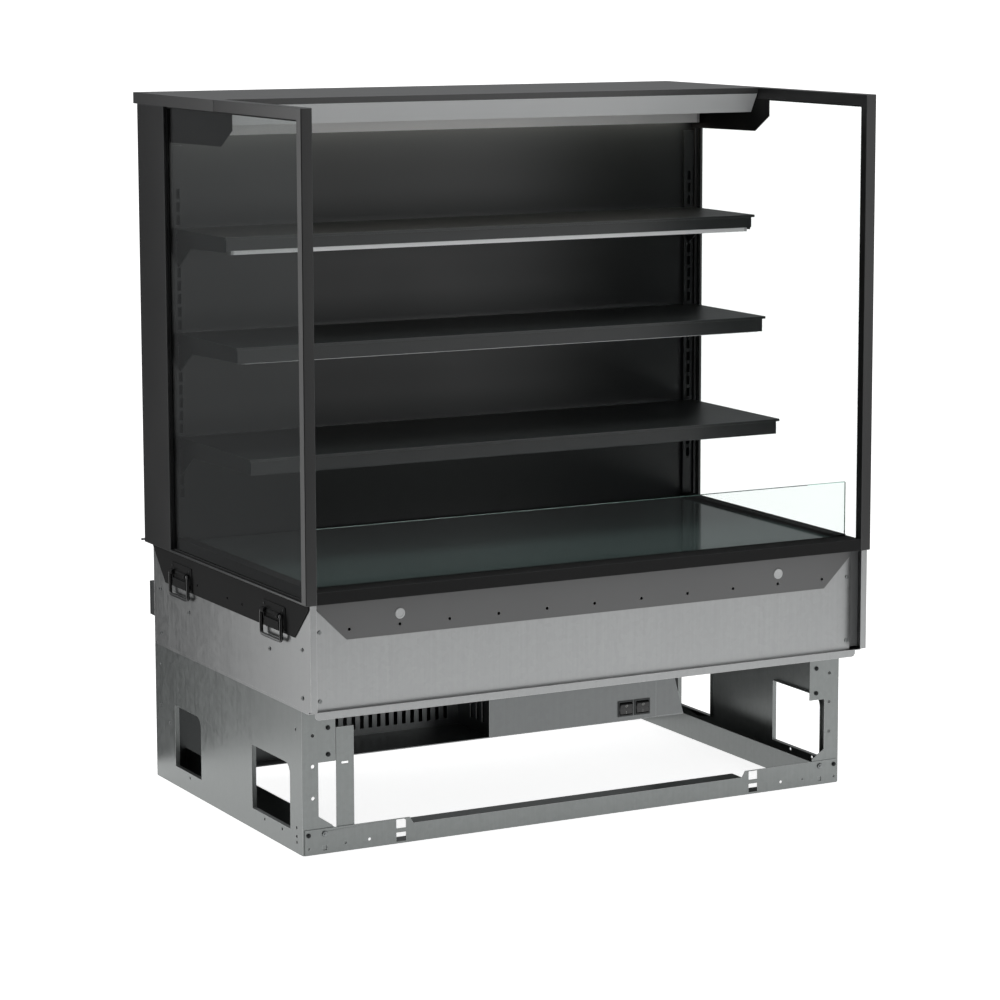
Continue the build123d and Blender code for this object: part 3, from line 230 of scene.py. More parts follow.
bpy.ops.mesh.primitive_plane_add(size=FLOOR_SIZE, location=FLOOR_PLACE)
floor = just_added("studio_floor")
floor_paint, tree, place = start_material("matt_white_floor_paint")
tone = mixed(tree, noise(tree, place, ROLLER_MARK), "f0f0ef", "f6f6f6")
surface(tree, {"Roughness": 0.9, "Specular IOR Level": 0.1,
               "Emission Color": linear("ffffff"), "Emission Strength": FLOOR_GLOW},
        {"Base Color": tone})
floor.data.materials.append(floor_paint)

world = bpy.data.worlds.new("white_studio")
world.use_nodes = True
scene.world = world
tree = world.node_tree
tree.nodes.clear()
ray = add_node(tree, "ShaderNodeLightPath")
turned = add_node(tree, "ShaderNodeMath", links={0: ray.outputs["Ray Depth"],
                                                 1: ray.outputs["Transmission Depth"]},
                  operation="SUBTRACT")
straight = add_node(tree, "ShaderNodeMath", {1: 1.5}, {0: turned.outputs[0]},
                    operation="LESS_THAN")
through = add_node(tree, "ShaderNodeMath", links={0: straight.outputs[0],
                                                  1: ray.outputs["Is Transmission Ray"]},
                   operation="MULTIPLY")
seen = add_node(tree, "ShaderNodeMath", links={0: through.outputs[0],
                                               1: ray.outputs["Is Camera Ray"]},
                operation="MAXIMUM")
heading = add_node(tree, "ShaderNodeTexCoord")
height = add_node(tree, "ShaderNodeSeparateXYZ", links={0: heading.outputs["Generated"]})
level = add_node(tree, "ShaderNodeMapRange", {"From Min": SKY_LOW, "From Max": SKY_HIGH,
                                              "To Min": WORLD_BELOW, "To Max": WORLD_ABOVE},
                 {"Value": height.outputs["Z"]})
dim = add_node(tree, "ShaderNodeBackground", {"Color": linear("f4f6f8")},
               {"Strength": level.outputs[0]})
bright = add_node(tree, "ShaderNodeBackground", {"Color": linear("ffffff"),
                                                 "Strength": WORLD_SEEN})
either = add_node(tree, "ShaderNodeMixShader", links={0: seen.outputs[0], 1: dim.outputs[0],
                                                      2: bright.outputs[0]})
add_node(tree, "ShaderNodeOutputWorld", links={"Surface": either.outputs[0]})
scene.view_settings.view_transform = "Standard"
print("floor corners:", len(floor.data.vertices))

# %% [markdown]
# Three soft boxes do the rest. A tall narrow one stands behind the left side, where that side
# mirrors it for the camera: the front end of the side catches it and the rear end misses it,
# which fades the side from light to dark. Glass would mirror it as a hard bright bar, so the
# panes are left out of the things it lights, as a photographer holds a flag in between. One at
# the front right is what the front panels mirror. One overhead whitens the floor and the roof.
# All are hidden from the camera and from rays that come through glass.

# %% Soft boxes
def soft_box(name, place, aim, width, height, power):
    """A rectangular studio light at a place, turned to face a point."""
    bpy.ops.object.light_add(type="AREA", location=place)
    lamp = bpy.context.object
    lamp.name = name
    lamp.data.shape = "RECTANGLE"
    lamp.data.size = width
    lamp.data.size_y = height
    lamp.data.energy = power
    direction = Vector(aim) - Vector(place)
    lamp.rotation_euler = direction.to_track_quat("-Z", "Y").to_euler()
    lamp.visible_camera = False
    lamp.visible_transmission = False
    return lamp


left_box = soft_box("left_box", place=(-1.62, 1.02, 0.6), aim=(-0.6, -0.39, 0.6),
                    width=0.8, height=1.95, power=8)
unlit_by_left_box = bpy.data.collections.new("unlit_by_left_box")
left_box.light_linking.receiver_collection = unlit_by_left_box
soft_box("front_right_box", place=(2.5, -4.4, 1.0), aim=(0, 0, 0.7),
         width=2.4, height=2.0, power=24)
soft_box("overhead_box", place=(0.4, 0.2, 3.4), aim=(0.4, 0, 0),
         width=2.6, height=2.6, power=42)

# %% [markdown]
# ## Powder paint
#
# Most of the case is steel painted with polyester powder and baked. The powder melts into a
# satin skin that is never quite flat: it has the fine ripple that painters call orange peel,
# about 2 mm from crest to crest. At this distance a ripple of 2 mm is one pixel, so it is
# drawn at 4 mm. The rounded edges are a shade lighter: partly the paint pulling thin over
# sharp edges, partly a painted highlight along them. One recipe serves the seven painted
# finishes. The matt one also shines less.

# %% Powder paint
PEEL_SIZE = 4 * MM
PEEL_DEPTH = 0.05 * MM
CLOUD_SIZE = 220 * MM


def powder_paint(name, dark, light, edge, roughness, sheen=0.5):
    """Baked powder paint: two near tones, satin gloss, orange peel, and edges lighter by thin
    paint and a painted highlight.
    """
    material, tree, place = start_material(name)
    cloud = noise(tree, place, CLOUD_SIZE, 3.0)
    tone = mixed(tree, cloud, dark, light)
    peel = noise(tree, place, PEEL_SIZE, 1.0)
    surface(tree, {"IOR": 1.5, "Specular IOR Level": sheen},
            {"Base Color": mixed(tree, edge_share(tree), tone, edge),
             "Roughness": spread(tree, cloud, roughness - 0.04, roughness + 0.04),
             "Normal": relief(tree, peel, 0.5, PEEL_DEPTH)})
    return material


black_powder = powder_paint("black_polyester_powder", "1a1a1a", "202020", "404141", 0.3)
matt_powder = powder_paint("matt_black_polyester_powder", "111111", "161616", "2a2b2b", 0.72,
                           0.22)
charcoal_powder = powder_paint("charcoal_polyester_powder", "252828", "2c2f2f", "444848", 0.36)
apron_powder = powder_paint("graphite_polyester_powder", "565656", "5e5e5e", "7a7a7a", 0.42)
roof_powder = powder_paint("dark_grey_polyester_powder", "3a3a3a", "424242", "606060", 0.36)
grey_powder = powder_paint("light_grey_polyester_powder", "cccdcd", "d3d4d4", "e0e1e1", 0.45)
# A lighter copy of the grey lamp paint, as painted light: the rear lamp sits in the canopy's
# shade, and the shelf lamps share it.
pale_powder_painted_light = powder_paint("pale_lamp_powder_painted_light", "e6e7e7", "ececec", "f2f2f2", 0.45)
print("painted finishes:", len([black_powder, matt_powder, charcoal_powder, apron_powder,
                                roof_powder, grey_powder, pale_powder_painted_light]))

# %% [markdown]
# ## Galvanised steel
#
# The housing and the base frame are cut from sheet that was dipped in zinc. Zinc freezes in
# crystals, called spangle, that are 5 to 15 mm wide and differ a little in brightness and
# gloss, and rolling the sheet leaves faint streaks along it. Crystals come from a Voronoi
# texture, and streaks from noise stretched along the height. The rounded edges are lighter:
# partly the bright cut of the shear, partly a painted highlight. Bare zinc has no colour of
# its own apart from its reflection. On the base frame it has dulled: a thin pale bloom covers
# a part of it, which scatters light as chalk does, so its metallic share is lower.

# %% Galvanised steel
SPANGLE_SIZE = 9 * MM
STREAK_WIDTH = 6 * MM
STREAK_LENGTH = 160 * MM
SPANGLE_SHARE = 0.35
# The pattern is shown with a strength of the patina plus a gain, and then lowered by a cut.
PATTERN_GAIN = 0.6
PATTERN_CUT = 0.45


def zinc_sheet(name, dark, light, edge, roughness, bare=1.0):
    """Hot-dip galvanised sheet: crystals, mill streaks, and edges lighter by the cut and a
    painted highlight.
    """
    material, tree, place = start_material(name)
    crystal = add_node(tree, "ShaderNodeTexVoronoi", {"Scale": 1 / SPANGLE_SIZE},
                       {"Vector": place})
    shade = add_node(tree, "ShaderNodeSeparateColor", links={0: crystal.outputs["Color"]})
    stretch = add_node(tree, "ShaderNodeMapping",
                       {"Scale": (1 / STREAK_WIDTH, 1 / STREAK_WIDTH, 1 / STREAK_LENGTH)},
                       {"Vector": place})
    streak = noise(tree, stretch.outputs[0], 1.0, 4.0)
    patina = noise(tree, place, CLOUD_SIZE, 4.0)
    blend = add_node(tree, "ShaderNodeMath", {1: SPANGLE_SHARE},
                     {0: shade.outputs[0], 2: streak}, operation="MULTIPLY_ADD").outputs[0]
    share = add_node(tree, "ShaderNodeMath", {2: -PATTERN_CUT}, {0: patina, 1: blend},
                     operation="MULTIPLY_ADD").outputs[0]
    level = add_node(tree, "ShaderNodeMath", {1: PATTERN_GAIN}, {0: blend, 2: share},
                     operation="MULTIPLY_ADD", use_clamp=True).outputs[0]
    tone = mixed(tree, level, dark, light)
    surface(tree, {"Metallic": bare},
            {"Base Color": mixed(tree, edge_share(tree), tone, edge),
             "Roughness": spread(tree, level, roughness - 0.06, roughness + 0.06),
             "Normal": relief(tree, level, 0.35, 0.04 * MM)})
    return material


housing_zinc = zinc_sheet("hot_dip_zinc_bright", "8f9090", "999a9a", "bcbcbc", 0.36)
base_zinc = zinc_sheet("hot_dip_zinc_dull", "777a79", "828584", "a6a8a7", 0.36, 0.85)
equipment_zinc = zinc_sheet("hot_dip_zinc_weathered", "686a6a", "717373", "9c9e9e", 0.4)
# A darker copy of the zinc, as painted shade: the rear rail stands in deep shadow inside the
# base.
rear_zinc_painted_shade = zinc_sheet("hot_dip_zinc_painted_shade", "424444", "494b4b", "6c6e6e", 0.46, 0.85)
print("zinc finishes:", len([housing_zinc, base_zinc, equipment_zinc, rear_zinc_painted_shade]))

# %% [markdown]
# ## Glass, enamel, plastics and small metal
#
# Float glass is clear from the front and green along its ground edges, because light runs a
# long way through the pane to reach them. The photo's panes hardly mirror anything, as with
# the anti-reflective coat that display glass often has, so the specular level is lowered.
# Float glass cools on a bath of tin and keeps a very slight wave, about a hand wide, which the
# relief stands for. The surface itself is perfectly smooth.

# %% Float glass
GLASS_WAVE = 90 * MM
float_glass, tree, place = start_material("clear_float_glass")
wave = relief(tree, noise(tree, place, GLASS_WAVE, 0.0), 0.2, 0.02 * MM)
surface(tree, {"IOR": 1.5, "Transmission Weight": 1.0, "Specular IOR Level": 0.12,
               "Roughness": 0.0},
        {"Base Color": mixed(tree, edge_share(tree), "fbfefd", "8ccfba"), "Normal": wave})
print("glass:", float_glass.name)

# %% [markdown]
# The deck pan is the shiniest surface: steel with a stoved gloss enamel, which mirrors what
# stands on it. Enamel is a coloured layer under a clear one, so it gets a low roughness and a
# coat. The deck's enamel is black, and its light grey-green colour here is painted reflection,
# of the white studio seen through the green glass. Faint wipe marks in its roughness keep the
# mirror from looking like a computer's. The bars of the handles are dipped in a duller black of
# the same kind. On both, the lighter edges are thin enamel and a painted highlight.

# %% Stoved enamel
def gloss_enamel(name, colour, edge, roughness):
    """Stoved enamel: a deep colour under a clear coat, with wipe marks, and edges lighter by
    thin enamel and a painted highlight.
    """
    material, tree, place = start_material(name)
    wipe = noise(tree, place, CLOUD_SIZE, 5.0)
    surface(tree, {"IOR": 1.5, "Coat Weight": 0.5, "Coat Roughness": 0.05},
            {"Base Color": mixed(tree, edge_share(tree), colour, edge),
             "Roughness": spread(tree, wipe, roughness - 0.03, roughness + 0.05)})
    return material


# The deck's grey-green colour is painted reflection on black enamel.
deck_enamel_painted_reflection = gloss_enamel("stoved_enamel_painted_reflection", "586765", "6f7e7c", 0.1)
black_steel = gloss_enamel("black_dipped_steel", "0c0c0c", "2a2a2a", 0.3)
print("enamels:", deck_enamel_painted_reflection.name, black_steel.name)

# %% [markdown]
# Moulded plastic takes the fine spark-eroded grain of its mould. The grain is about 0.3 mm, so
# fine that it is drawn at 1.5 mm here to show at all. The same recipe gives the light grey
# plugs, the dark supply box, the rocker switches and their marks, the rubber seals, and the
# grey foam strips that are painted shade beside the housing's front panel, each with its own
# gloss.

# %% Moulded plastics
MOULD_GRAIN = 1.5 * MM
PLASTIC_CLOUD = 30 * MM


def moulded_plastic(name, dark, light, roughness, grain_depth=0.05 * MM):
    """Injection-moulded plastic with mould grain and a slight cloudiness."""
    material, tree, place = start_material(name)
    grain = noise(tree, place, MOULD_GRAIN)
    surface(tree, {"IOR": 1.46},
            {"Base Color": mixed(tree, noise(tree, place, PLASTIC_CLOUD), dark, light),
             "Roughness": spread(tree, grain, roughness - 0.05, roughness + 0.05),
             "Normal": relief(tree, grain, 0.4, grain_depth)})
    return material


plug_plastic = moulded_plastic("light_grey_nylon", "b4b5b5", "bcbdbd", 0.5)
dark_plastic = moulded_plastic("dark_grey_abs", "282b2b", "2e3131", 0.5)
rocker_plastic = moulded_plastic("black_gloss_abs", "0d0d0d", "121212", 0.22, 0.01 * MM)
mark_paint = moulded_plastic("grey_mark_paint", "8e8f8c", "989995", 0.6)
seal_rubber = moulded_plastic("black_epdm_rubber", "121313", "181919", 0.7)
# Grey foam for the strips that are painted shade beside the housing's front panel.
shade_foam = moulded_plastic("grey_foam_painted_shade", "646565", "6e6f6f", 0.85)
print("plastics:", plug_plastic.name, dark_plastic.name, rocker_plastic.name)

# %% [markdown]
# A lamp's lens is opal acrylic: milky, so that the row of light points behind it runs
# together. It glows a little, enough to lighten the wall below it. Screws are zinc-plated, or
# blackened where they have to look dark, and the supply unit's case is anodised aluminium with
# fine lines from extrusion.

# %% Opal lens and bare metals
LENS_CLOUD = 40 * MM
GRAIN_SIZE = 1 * MM
LINE_LENGTH = 60 * MM


def opal_lens(name, glow):
    """Milky acrylic over a row of lights, slightly uneven along its length."""
    material, tree, place = start_material(name)
    surface(tree, {"IOR": 1.49, "Roughness": 0.35, "Emission Color": linear("fff8ec"),
                   "Emission Strength": glow},
            {"Base Color": mixed(tree, noise(tree, place, LENS_CLOUD), "dedfdc", "ebece9")})
    return material


def bare_metal(name, dark, light, roughness, length=GRAIN_SIZE):
    """Bare metal with a fine grain, which runs on for a length along X."""
    material, tree, place = start_material(name)
    lines = add_node(tree, "ShaderNodeMapping",
                     {"Scale": (1 / length, 1 / GRAIN_SIZE, 1 / GRAIN_SIZE)},
                     {"Vector": place})
    grain = noise(tree, lines.outputs[0], 1.0)
    surface(tree, {"Metallic": 1.0, "Roughness": roughness},
            {"Base Color": mixed(tree, grain, dark, light),
             "Normal": relief(tree, grain, 0.3, GRAIN_SIZE / 40)})
    return material


lens_bright = opal_lens("opal_acrylic_lit", 2.5)
lens_soft = opal_lens("opal_acrylic_dim", 1.2)
screw_steel = bare_metal("zinc_plated_steel", "6e7070", "8c8f8f", 0.35)
dark_screw = bare_metal("black_oxide_steel", "242525", "343636", 0.4)
driver_metal = bare_metal("anodised_aluminium", "c2c4c6", "d0d2d4", 0.3, LINE_LENGTH)
print("metals:", screw_steel.name, dark_screw.name, driver_metal.name)

# %% [markdown]
# ## Working in edit mode
#
# Modelling by hand is a round of three steps: pick a piece, pick some of its faces, and press
# one tool. In code the faces are picked by which way they point. Every tool acts on all that
# is selected, so the helper that picks a piece deselects the others first.

# %% Picking helpers
QUARTER_TURN = math.radians(90)
AXIS_TURN = {"X": (0, QUARTER_TURN, 0), "Y": (QUARTER_TURN, 0, 0), "Z": (0, 0, 0)}


def work_on(piece):
    """Make one object the only selected and active one."""
    bpy.ops.object.select_all(action="DESELECT")
    piece.select_set(True)
    bpy.context.view_layer.objects.active = piece


def pick_faces(piece, wanted):
    """Enter edit mode with the faces selected whose normal passes a test."""
    work_on(piece)
    bpy.ops.object.mode_set(mode="EDIT")
    bpy.ops.mesh.select_mode(type="FACE")
    bpy.ops.mesh.select_all(action="DESELECT")
    bpy.ops.object.mode_set(mode="OBJECT")
    for face in piece.data.polygons:
        face.select = wanted(face.normal)
    bpy.ops.object.mode_set(mode="EDIT")


def leave_edit():
    """Go back to object mode."""
    bpy.ops.object.mode_set(mode="OBJECT")


def draw_out(shift):
    """Extrude the selected faces along a shift."""
    bpy.ops.mesh.extrude_region_move(TRANSFORM_OT_translate={"value": shift})


def new_block(name, low, high):
    """A cube stretched between two corners."""
    low, high = Vector(low), Vector(high)
    bpy.ops.mesh.primitive_cube_add(size=1, location=(low + high) / 2)
    return just_added(name, high - low)


def new_disc(name, middle, axis, radius, length, sides=32):
    """A cylinder round a middle point, along one axis."""
    bpy.ops.mesh.primitive_cylinder_add(vertices=sides, radius=radius, depth=length,
                                        location=middle, rotation=AXIS_TURN[axis])
    return just_added(name)


def copied(model, name, place=(0, 0, 0), turn=(0, 0, 0)):
    """A copy with a mesh of its own, turned and then moved."""
    twin = bpy.data.objects.new(name, model.data.copy())
    scene.collection.objects.link(twin)
    work_on(twin)
    twin.rotation_euler = turn
    twin.location = place
    freeze_place()
    return twin


def joined(pieces, name):
    """Several pieces as one object."""
    work_on(pieces[0])
    for piece in pieces:
        piece.select_set(True)
    bpy.ops.object.join()
    pieces[0].name = name
    return pieces[0]


print("edit helpers ready")

# %% [markdown]
# ## Rounded edges
#
# Nothing real has a perfectly sharp edge, and the thin line of light along a rounded edge is
# what tells the eye that a sheet has thickness. A bevel modifier rounds all sharp edges at
# once. It can put the faces that it makes in a second material slot, and here that slot is
# only a marker: it is read back into an attribute named "edge", which the materials use. Then
# the normals are weighted by face size, so that the large flat faces stay flat to the light.

# %% Softening and settling
MERGE_REACH = 0.01 * MM
FLAT_LIMIT = math.radians(0.5)
SMOOTH_LIMIT = math.radians(35)


def soften(piece, width, steps=2, sharper_than=28):
    """Round the sharp edges and record the narrow new faces in the attribute "edge"."""
    work_on(piece)
    piece.data.materials.clear()
    for _ in range(2):
        piece.data.materials.append(None)
    bpy.ops.object.modifier_add(type="BEVEL")
    bevel = piece.modifiers[-1]
    bevel.width = width
    bevel.segments = steps
    bevel.limit_method = "ANGLE"
    bevel.angle_limit = math.radians(sharper_than)
    bevel.use_clamp_overlap = False
    bevel.material = 1
    bpy.ops.object.modifier_apply(modifier=bevel.name)
    mesh = piece.data
    marks = [float(face.material_index) for face in mesh.polygons]
    edge = mesh.attributes.new("edge", "FLOAT", "FACE")
    edge.data.foreach_set("value", marks)
    mesh.polygons.foreach_set("material_index", [0] * len(marks))
    mesh.materials.clear()


def settle(piece, material, body="case", stands_for=()):
    """Give a piece its material, smooth shading and body, and hide the nodes it stands for."""
    work_on(piece)
    piece.data.materials.clear()
    piece.data.materials.append(material)
    bpy.ops.object.shade_smooth_by_angle(angle=SMOOTH_LIMIT)
    bpy.ops.object.modifier_add(type="WEIGHTED_NORMAL")
    weighting = piece.modifiers[-1]
    weighting.keep_sharp = True
    bpy.ops.object.modifier_apply(modifier=weighting.name)
    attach(piece, body)
    if stands_for:
        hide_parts(*stands_for)
    return piece


def dress(node, material, width, steps=2):
    """A merged copy of a CAD node with rounded edges, which stands for the node."""
    piece = copied(nodes[node], node + "_finished")
    bpy.ops.mesh.customdata_custom_splitnormals_clear()
    bpy.ops.object.mode_set(mode="EDIT")
    bpy.ops.mesh.select_all(action="SELECT")
    bpy.ops.mesh.remove_doubles(threshold=MERGE_REACH)
    bpy.ops.mesh.dissolve_limited(angle_limit=FLAT_LIMIT)
    leave_edit()
    soften(piece, width, steps)
    settle(piece, material, nodes[node]["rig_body"], [node])


# %% [markdown]
# ## Sheet metal
#
# The folded sheets already have their true outlines, folds, windows and holes, so the best
# start for each is a copy of its own CAD mesh. The side frames are welded from tube and get
# the widest rounding. Sheet of 1.5 or 2 mm gets 0.4 mm, about what a deburring wheel leaves.

# %% Frames, roof and back
FRAME_EDGE = 1.2 * MM
SHEET_EDGE = 0.4 * MM

for side in ("left", "right"):
    dress("side_frame_" + side, black_powder, FRAME_EDGE, 3)
    dress("canopy_end_" + side, matt_powder, SHEET_EDGE)
    dress("side_skirt_" + side, matt_powder, SHEET_EDGE)
    dress("shelf_upright_" + side, charcoal_powder, SHEET_EDGE)
dress("roof_panel", roof_powder, SHEET_EDGE)
dress("canopy_fascia", grey_powder, SHEET_EDGE)
dress("back_panel", charcoal_powder, SHEET_EDGE)
dress("rear_cover", black_powder, SHEET_EDGE)
dress("front_apron", apron_powder, SHEET_EDGE)

# %% [markdown]
# The shelves are single sheets folded at the nose, carried by two toothed plates. They tilt,
# so each piece rides on its own shelf body, which the helper reads from the node. The deck, an
# enamelled pan between painted rails, has rounder edges than the sheets.

# %% Shelves and deck
RAIL_EDGE = 0.8 * MM
PAN_EDGE = 0.6 * MM

for level in ("upper", "middle", "lower"):
    dress("shelf_" + level, charcoal_powder, SHEET_EDGE)
    dress("shelf_" + level + "_brackets", charcoal_powder, SHEET_EDGE)
dress("deck_front_rail", matt_powder, RAIL_EDGE, 3)
dress("deck_side_rails", matt_powder, RAIL_EDGE, 3)
dress("deck_pan", deck_enamel_painted_reflection, PAN_EDGE, 3)

# %% [markdown]
# The housing, the base frame and the hung equipment aren't painted. They are sheet dipped in
# zinc and differ only in their finish: housing, base and equipment have each aged in their own
# way, and the rear rail's much darker zinc is painted shade, for the deep shadow at the back
# of the base.

# %% Housing and base
for side in ("left", "right"):
    dress("housing_side_" + side, housing_zinc, SHEET_EDGE)
    dress("base_side_" + side, base_zinc, SHEET_EDGE)
for node in ("housing_front", "housing_back", "housing_floor"):
    dress(node, housing_zinc, SHEET_EDGE)
for node in ("base_front_rail", "front_stay"):
    dress(node, base_zinc, SHEET_EDGE)
for node in ("equipment_tray", "vent_panel", "electrical_box", "box_end_cover"):
    dress(node, equipment_zinc, SHEET_EDGE)
# The rear rail gets the darker zinc that is painted shade.
dress("base_rear_rail", rear_zinc_painted_shade, SHEET_EDGE)

# %% [markdown]
# ## Glass panes
#
# Each pane is a cube stretched to the pane's size. A glazier grinds the sharp arris off every
# edge, so the edges get one flat chamfer rather than a round, and the chamfer carries the
# green tint. The panes are also named here as what the left soft box leaves out.

# %% Panes
ARRIS_WIDTH = 0.8 * MM


def pane(node):
    """A glass pane with ground edges, in place of its CAD node."""
    low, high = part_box(node)
    piece = new_block(node + "_pane", low, high)
    soften(piece, ARRIS_WIDTH, 1)
    return settle(piece, float_glass, "case", [node])


for node in ("side_glass_left", "side_glass_right", "guard_glass"):
    unlit_by_left_box.objects.link(pane(node))
for entry in unlit_by_left_box.collection_objects:
    entry.light_linking.link_state = "EXCLUDE"

# %% [markdown]
# The housing's front panel stops short of its sides, so that both can be folded and dropped in
# without rubbing. Each of these two slots lies in deep shade, and a strip of dark grey foam is
# put in it as painted shade. Foam has no sharp edges, so the strip is a block with a generous
# rounding.

# %% Dark foam strips as painted shade beside the front panel
HOUSING_SHEET = 1.5 * MM
FOAM_THICKNESS = 5 * MM
FOAM_FOOT_GAP = 4 * MM
FOAM_TOP_GAP = 2 * MM

panel_low, panel_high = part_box("housing_front")
side_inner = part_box("housing_side_right")[1].x - HOUSING_SHEET
foam_front = panel_low.y + HOUSING_SHEET
# Each strip is a dark block put in a shaded slot as painted shade.
for side, sign in (("left", -1), ("right", 1)):
    x_low, x_high = sorted((sign * panel_high.x, sign * side_inner))
    foam = new_block("shade_foam_strip_" + side, (x_low, foam_front, panel_low.z + FOAM_FOOT_GAP),
                     (x_high, foam_front + FOAM_THICKNESS, panel_high.z - FOAM_TOP_GAP))
    soften(foam, 1.5 * MM, 3)
    settle(foam, shade_foam)
print("foam strip width in mm:", round((x_high - x_low) / MM, 1))

# %% [markdown]
# A pane never touches steel. A strip of black rubber sits in the corner between the pane and
# the frame, and its dark line outlines the window. It starts as a flat sheet the size of the
# window: the middle is inset and deleted, and what is left is given its thickness.

# %% Window seals
SEAL_WIDTH = 3 * MM
SEAL_THICKNESS = 1.6 * MM
WINDOW_Y = (-0.375, 0.2415)
WINDOW_Z = (0.484, 1.347)


def window_seal(name, x_face, outward):
    """A rubber ring round one face of a side pane, thickened away from the glass."""
    bpy.ops.mesh.primitive_plane_add(size=1, rotation=(0, QUARTER_TURN, 0),
                                     location=(x_face, sum(WINDOW_Y) / 2, sum(WINDOW_Z) / 2))
    piece = just_added(name, (WINDOW_Z[1] - WINDOW_Z[0], WINDOW_Y[1] - WINDOW_Y[0], 1))
    pick_faces(piece, lambda normal: True)
    bpy.ops.mesh.inset(thickness=SEAL_WIDTH, depth=0)
    bpy.ops.mesh.delete(type="FACE")
    bpy.ops.mesh.select_all(action="SELECT")
    draw_out((outward * SEAL_THICKNESS, 0, 0))
    bpy.ops.mesh.select_all(action="SELECT")
    bpy.ops.mesh.normals_make_consistent(inside=False)
    leave_edit()
    soften(piece, 0.5 * MM)
    settle(piece, seal_rubber)


for side, sign in (("left", -1), ("right", 1)):
    low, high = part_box("side_glass_" + side)
    outer, inner = (low.x, high.x) if sign < 0 else (high.x, low.x)
    window_seal("window_seal_outer_" + side, outer, sign)
    window_seal("window_seal_inner_" + side, inner, -sign)
print("pane thickness in mm:", round((high.x - low.x) / MM, 1))

# %% [markdown]
# ## Lamps
#
# A display lamp is an extruded aluminium body with an opal lens clipped in its open side and
# a plastic cap on each end. The body is a block whose underside is inset and pushed in, and
# the lens is a second block sunk in that groove, so that no customer looks into the light.

# %% Lamp bars
LENS_MARGIN = 2 * MM
LENS_PLAY = 0.1 * MM
LENS_DEPTH = 3 * MM
LENS_SUNK = 1 * MM
CAP_LENGTH = 6 * MM


def lamp_bar(node, body_finish, lens_finish):
    """Body, lens and end caps of one lamp, in place of its CAD node."""
    low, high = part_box(node)
    body_name = nodes[node]["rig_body"]
    body = new_block(node + "_body", (low.x + CAP_LENGTH, low.y, low.z),
                     (high.x - CAP_LENGTH, high.y, high.z))
    pick_faces(body, lambda normal: normal.z < -0.9)
    bpy.ops.mesh.inset(thickness=LENS_MARGIN, depth=0)
    draw_out((0, 0, LENS_DEPTH))
    leave_edit()
    soften(body, 0.5 * MM)
    settle(body, body_finish, body_name, [node])
    margin = Vector((CAP_LENGTH + LENS_MARGIN, LENS_MARGIN + LENS_PLAY, 0))
    lens = new_block(node + "_lens", low + margin + Vector((0, 0, LENS_SUNK)),
                     (high.x - margin.x, high.y - margin.y, low.z + LENS_DEPTH))
    soften(lens, 0.6 * MM, 3)
    settle(lens, lens_finish, body_name)
    for end, x_near, x_far in (("left", low.x, low.x + CAP_LENGTH),
                               ("right", high.x - CAP_LENGTH, high.x)):
        cap = new_block(node + "_cap_" + end, (x_near, low.y, low.z), (x_far, high.y, high.z))
        soften(cap, 0.8 * MM, 3)
        settle(cap, plug_plastic, body_name)
    print(node, "length in mm:", round((high.x - low.x) / MM))


lamp_bar("canopy_lamp", grey_powder, lens_bright)
# The rear and shelf lamp bodies take the lighter paint that is painted light.
lamp_bar("rear_lamp", pale_powder_painted_light, lens_bright)
for level in ("upper", "middle", "lower"):
    lamp_bar("shelf_" + level + "_lamp", pale_powder_painted_light, lens_soft)

# %% [markdown]
# ## Plugs
#
# Two snap-in plugs close the holes in the apron. A moulded plug has a soft outer edge and a
# shallow dish in the middle, where the mould's gate was. It is a short cylinder whose front
# face is inset twice, the second time with a push inwards.

# %% Apron plugs
PLUG_RIM = 2.5 * MM
DISH_SLOPE = 0.6 * MM
DISH_DEPTH = 0.5 * MM

low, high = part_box("apron_plugs")
plug_radius = (high.z - low.z) / 2
plug_x = high.x - plug_radius
plug = new_disc("apron_plug_model", (plug_x, (low.y + high.y) / 2, (low.z + high.z) / 2), "Y",
                plug_radius, high.y - low.y)
soften(plug, 0.8 * MM, 3)
pick_faces(plug, lambda normal: normal.y < -0.99)
bpy.ops.mesh.inset(thickness=PLUG_RIM, depth=0)
bpy.ops.mesh.inset(thickness=DISH_SLOPE, depth=-DISH_DEPTH)
leave_edit()
plug_twin = copied(plug, "apron_plug_twin", (-2 * plug_x, 0, 0))
settle(joined([plug, plug_twin], "apron_plug_pair"), plug_plastic, "case",
       ["apron_plugs"])
print("plug radius in mm:", round(plug_radius / MM, 2))

# %% [markdown]
# ## Cross-recess screws
#
# The housing is held by pan-head screws. One is modelled: a disc with its rim rounded into a
# dome, and a cross sunk into it. The cross comes from two thin blocks taken away by boolean
# modifiers, which is how a driver bit would stamp it. The rest are copies.

# %% One screw
# Sizes of the cross, as shares of the head's radius and height.
CROSS_LENGTH, CROSS_WIDTH, CROSS_FLOOR = 1.1, 0.28, 0.55
HEAD_TURN = {"-X": (0, -QUARTER_TURN, 0), "+X": (0, QUARTER_TURN, 0),
             "-Y": (QUARTER_TURN, 0, 0), "+Y": (-QUARTER_TURN, 0, 0)}


def cut_away(piece, cutter):
    """Take a cutter's shape out of a piece, and remove the cutter."""
    work_on(piece)
    bpy.ops.object.modifier_add(type="BOOLEAN")
    cut = piece.modifiers[-1]
    cut.operation = "DIFFERENCE"
    cut.object = cutter
    bpy.ops.object.modifier_apply(modifier=cut.name)
    bpy.data.objects.remove(cutter)


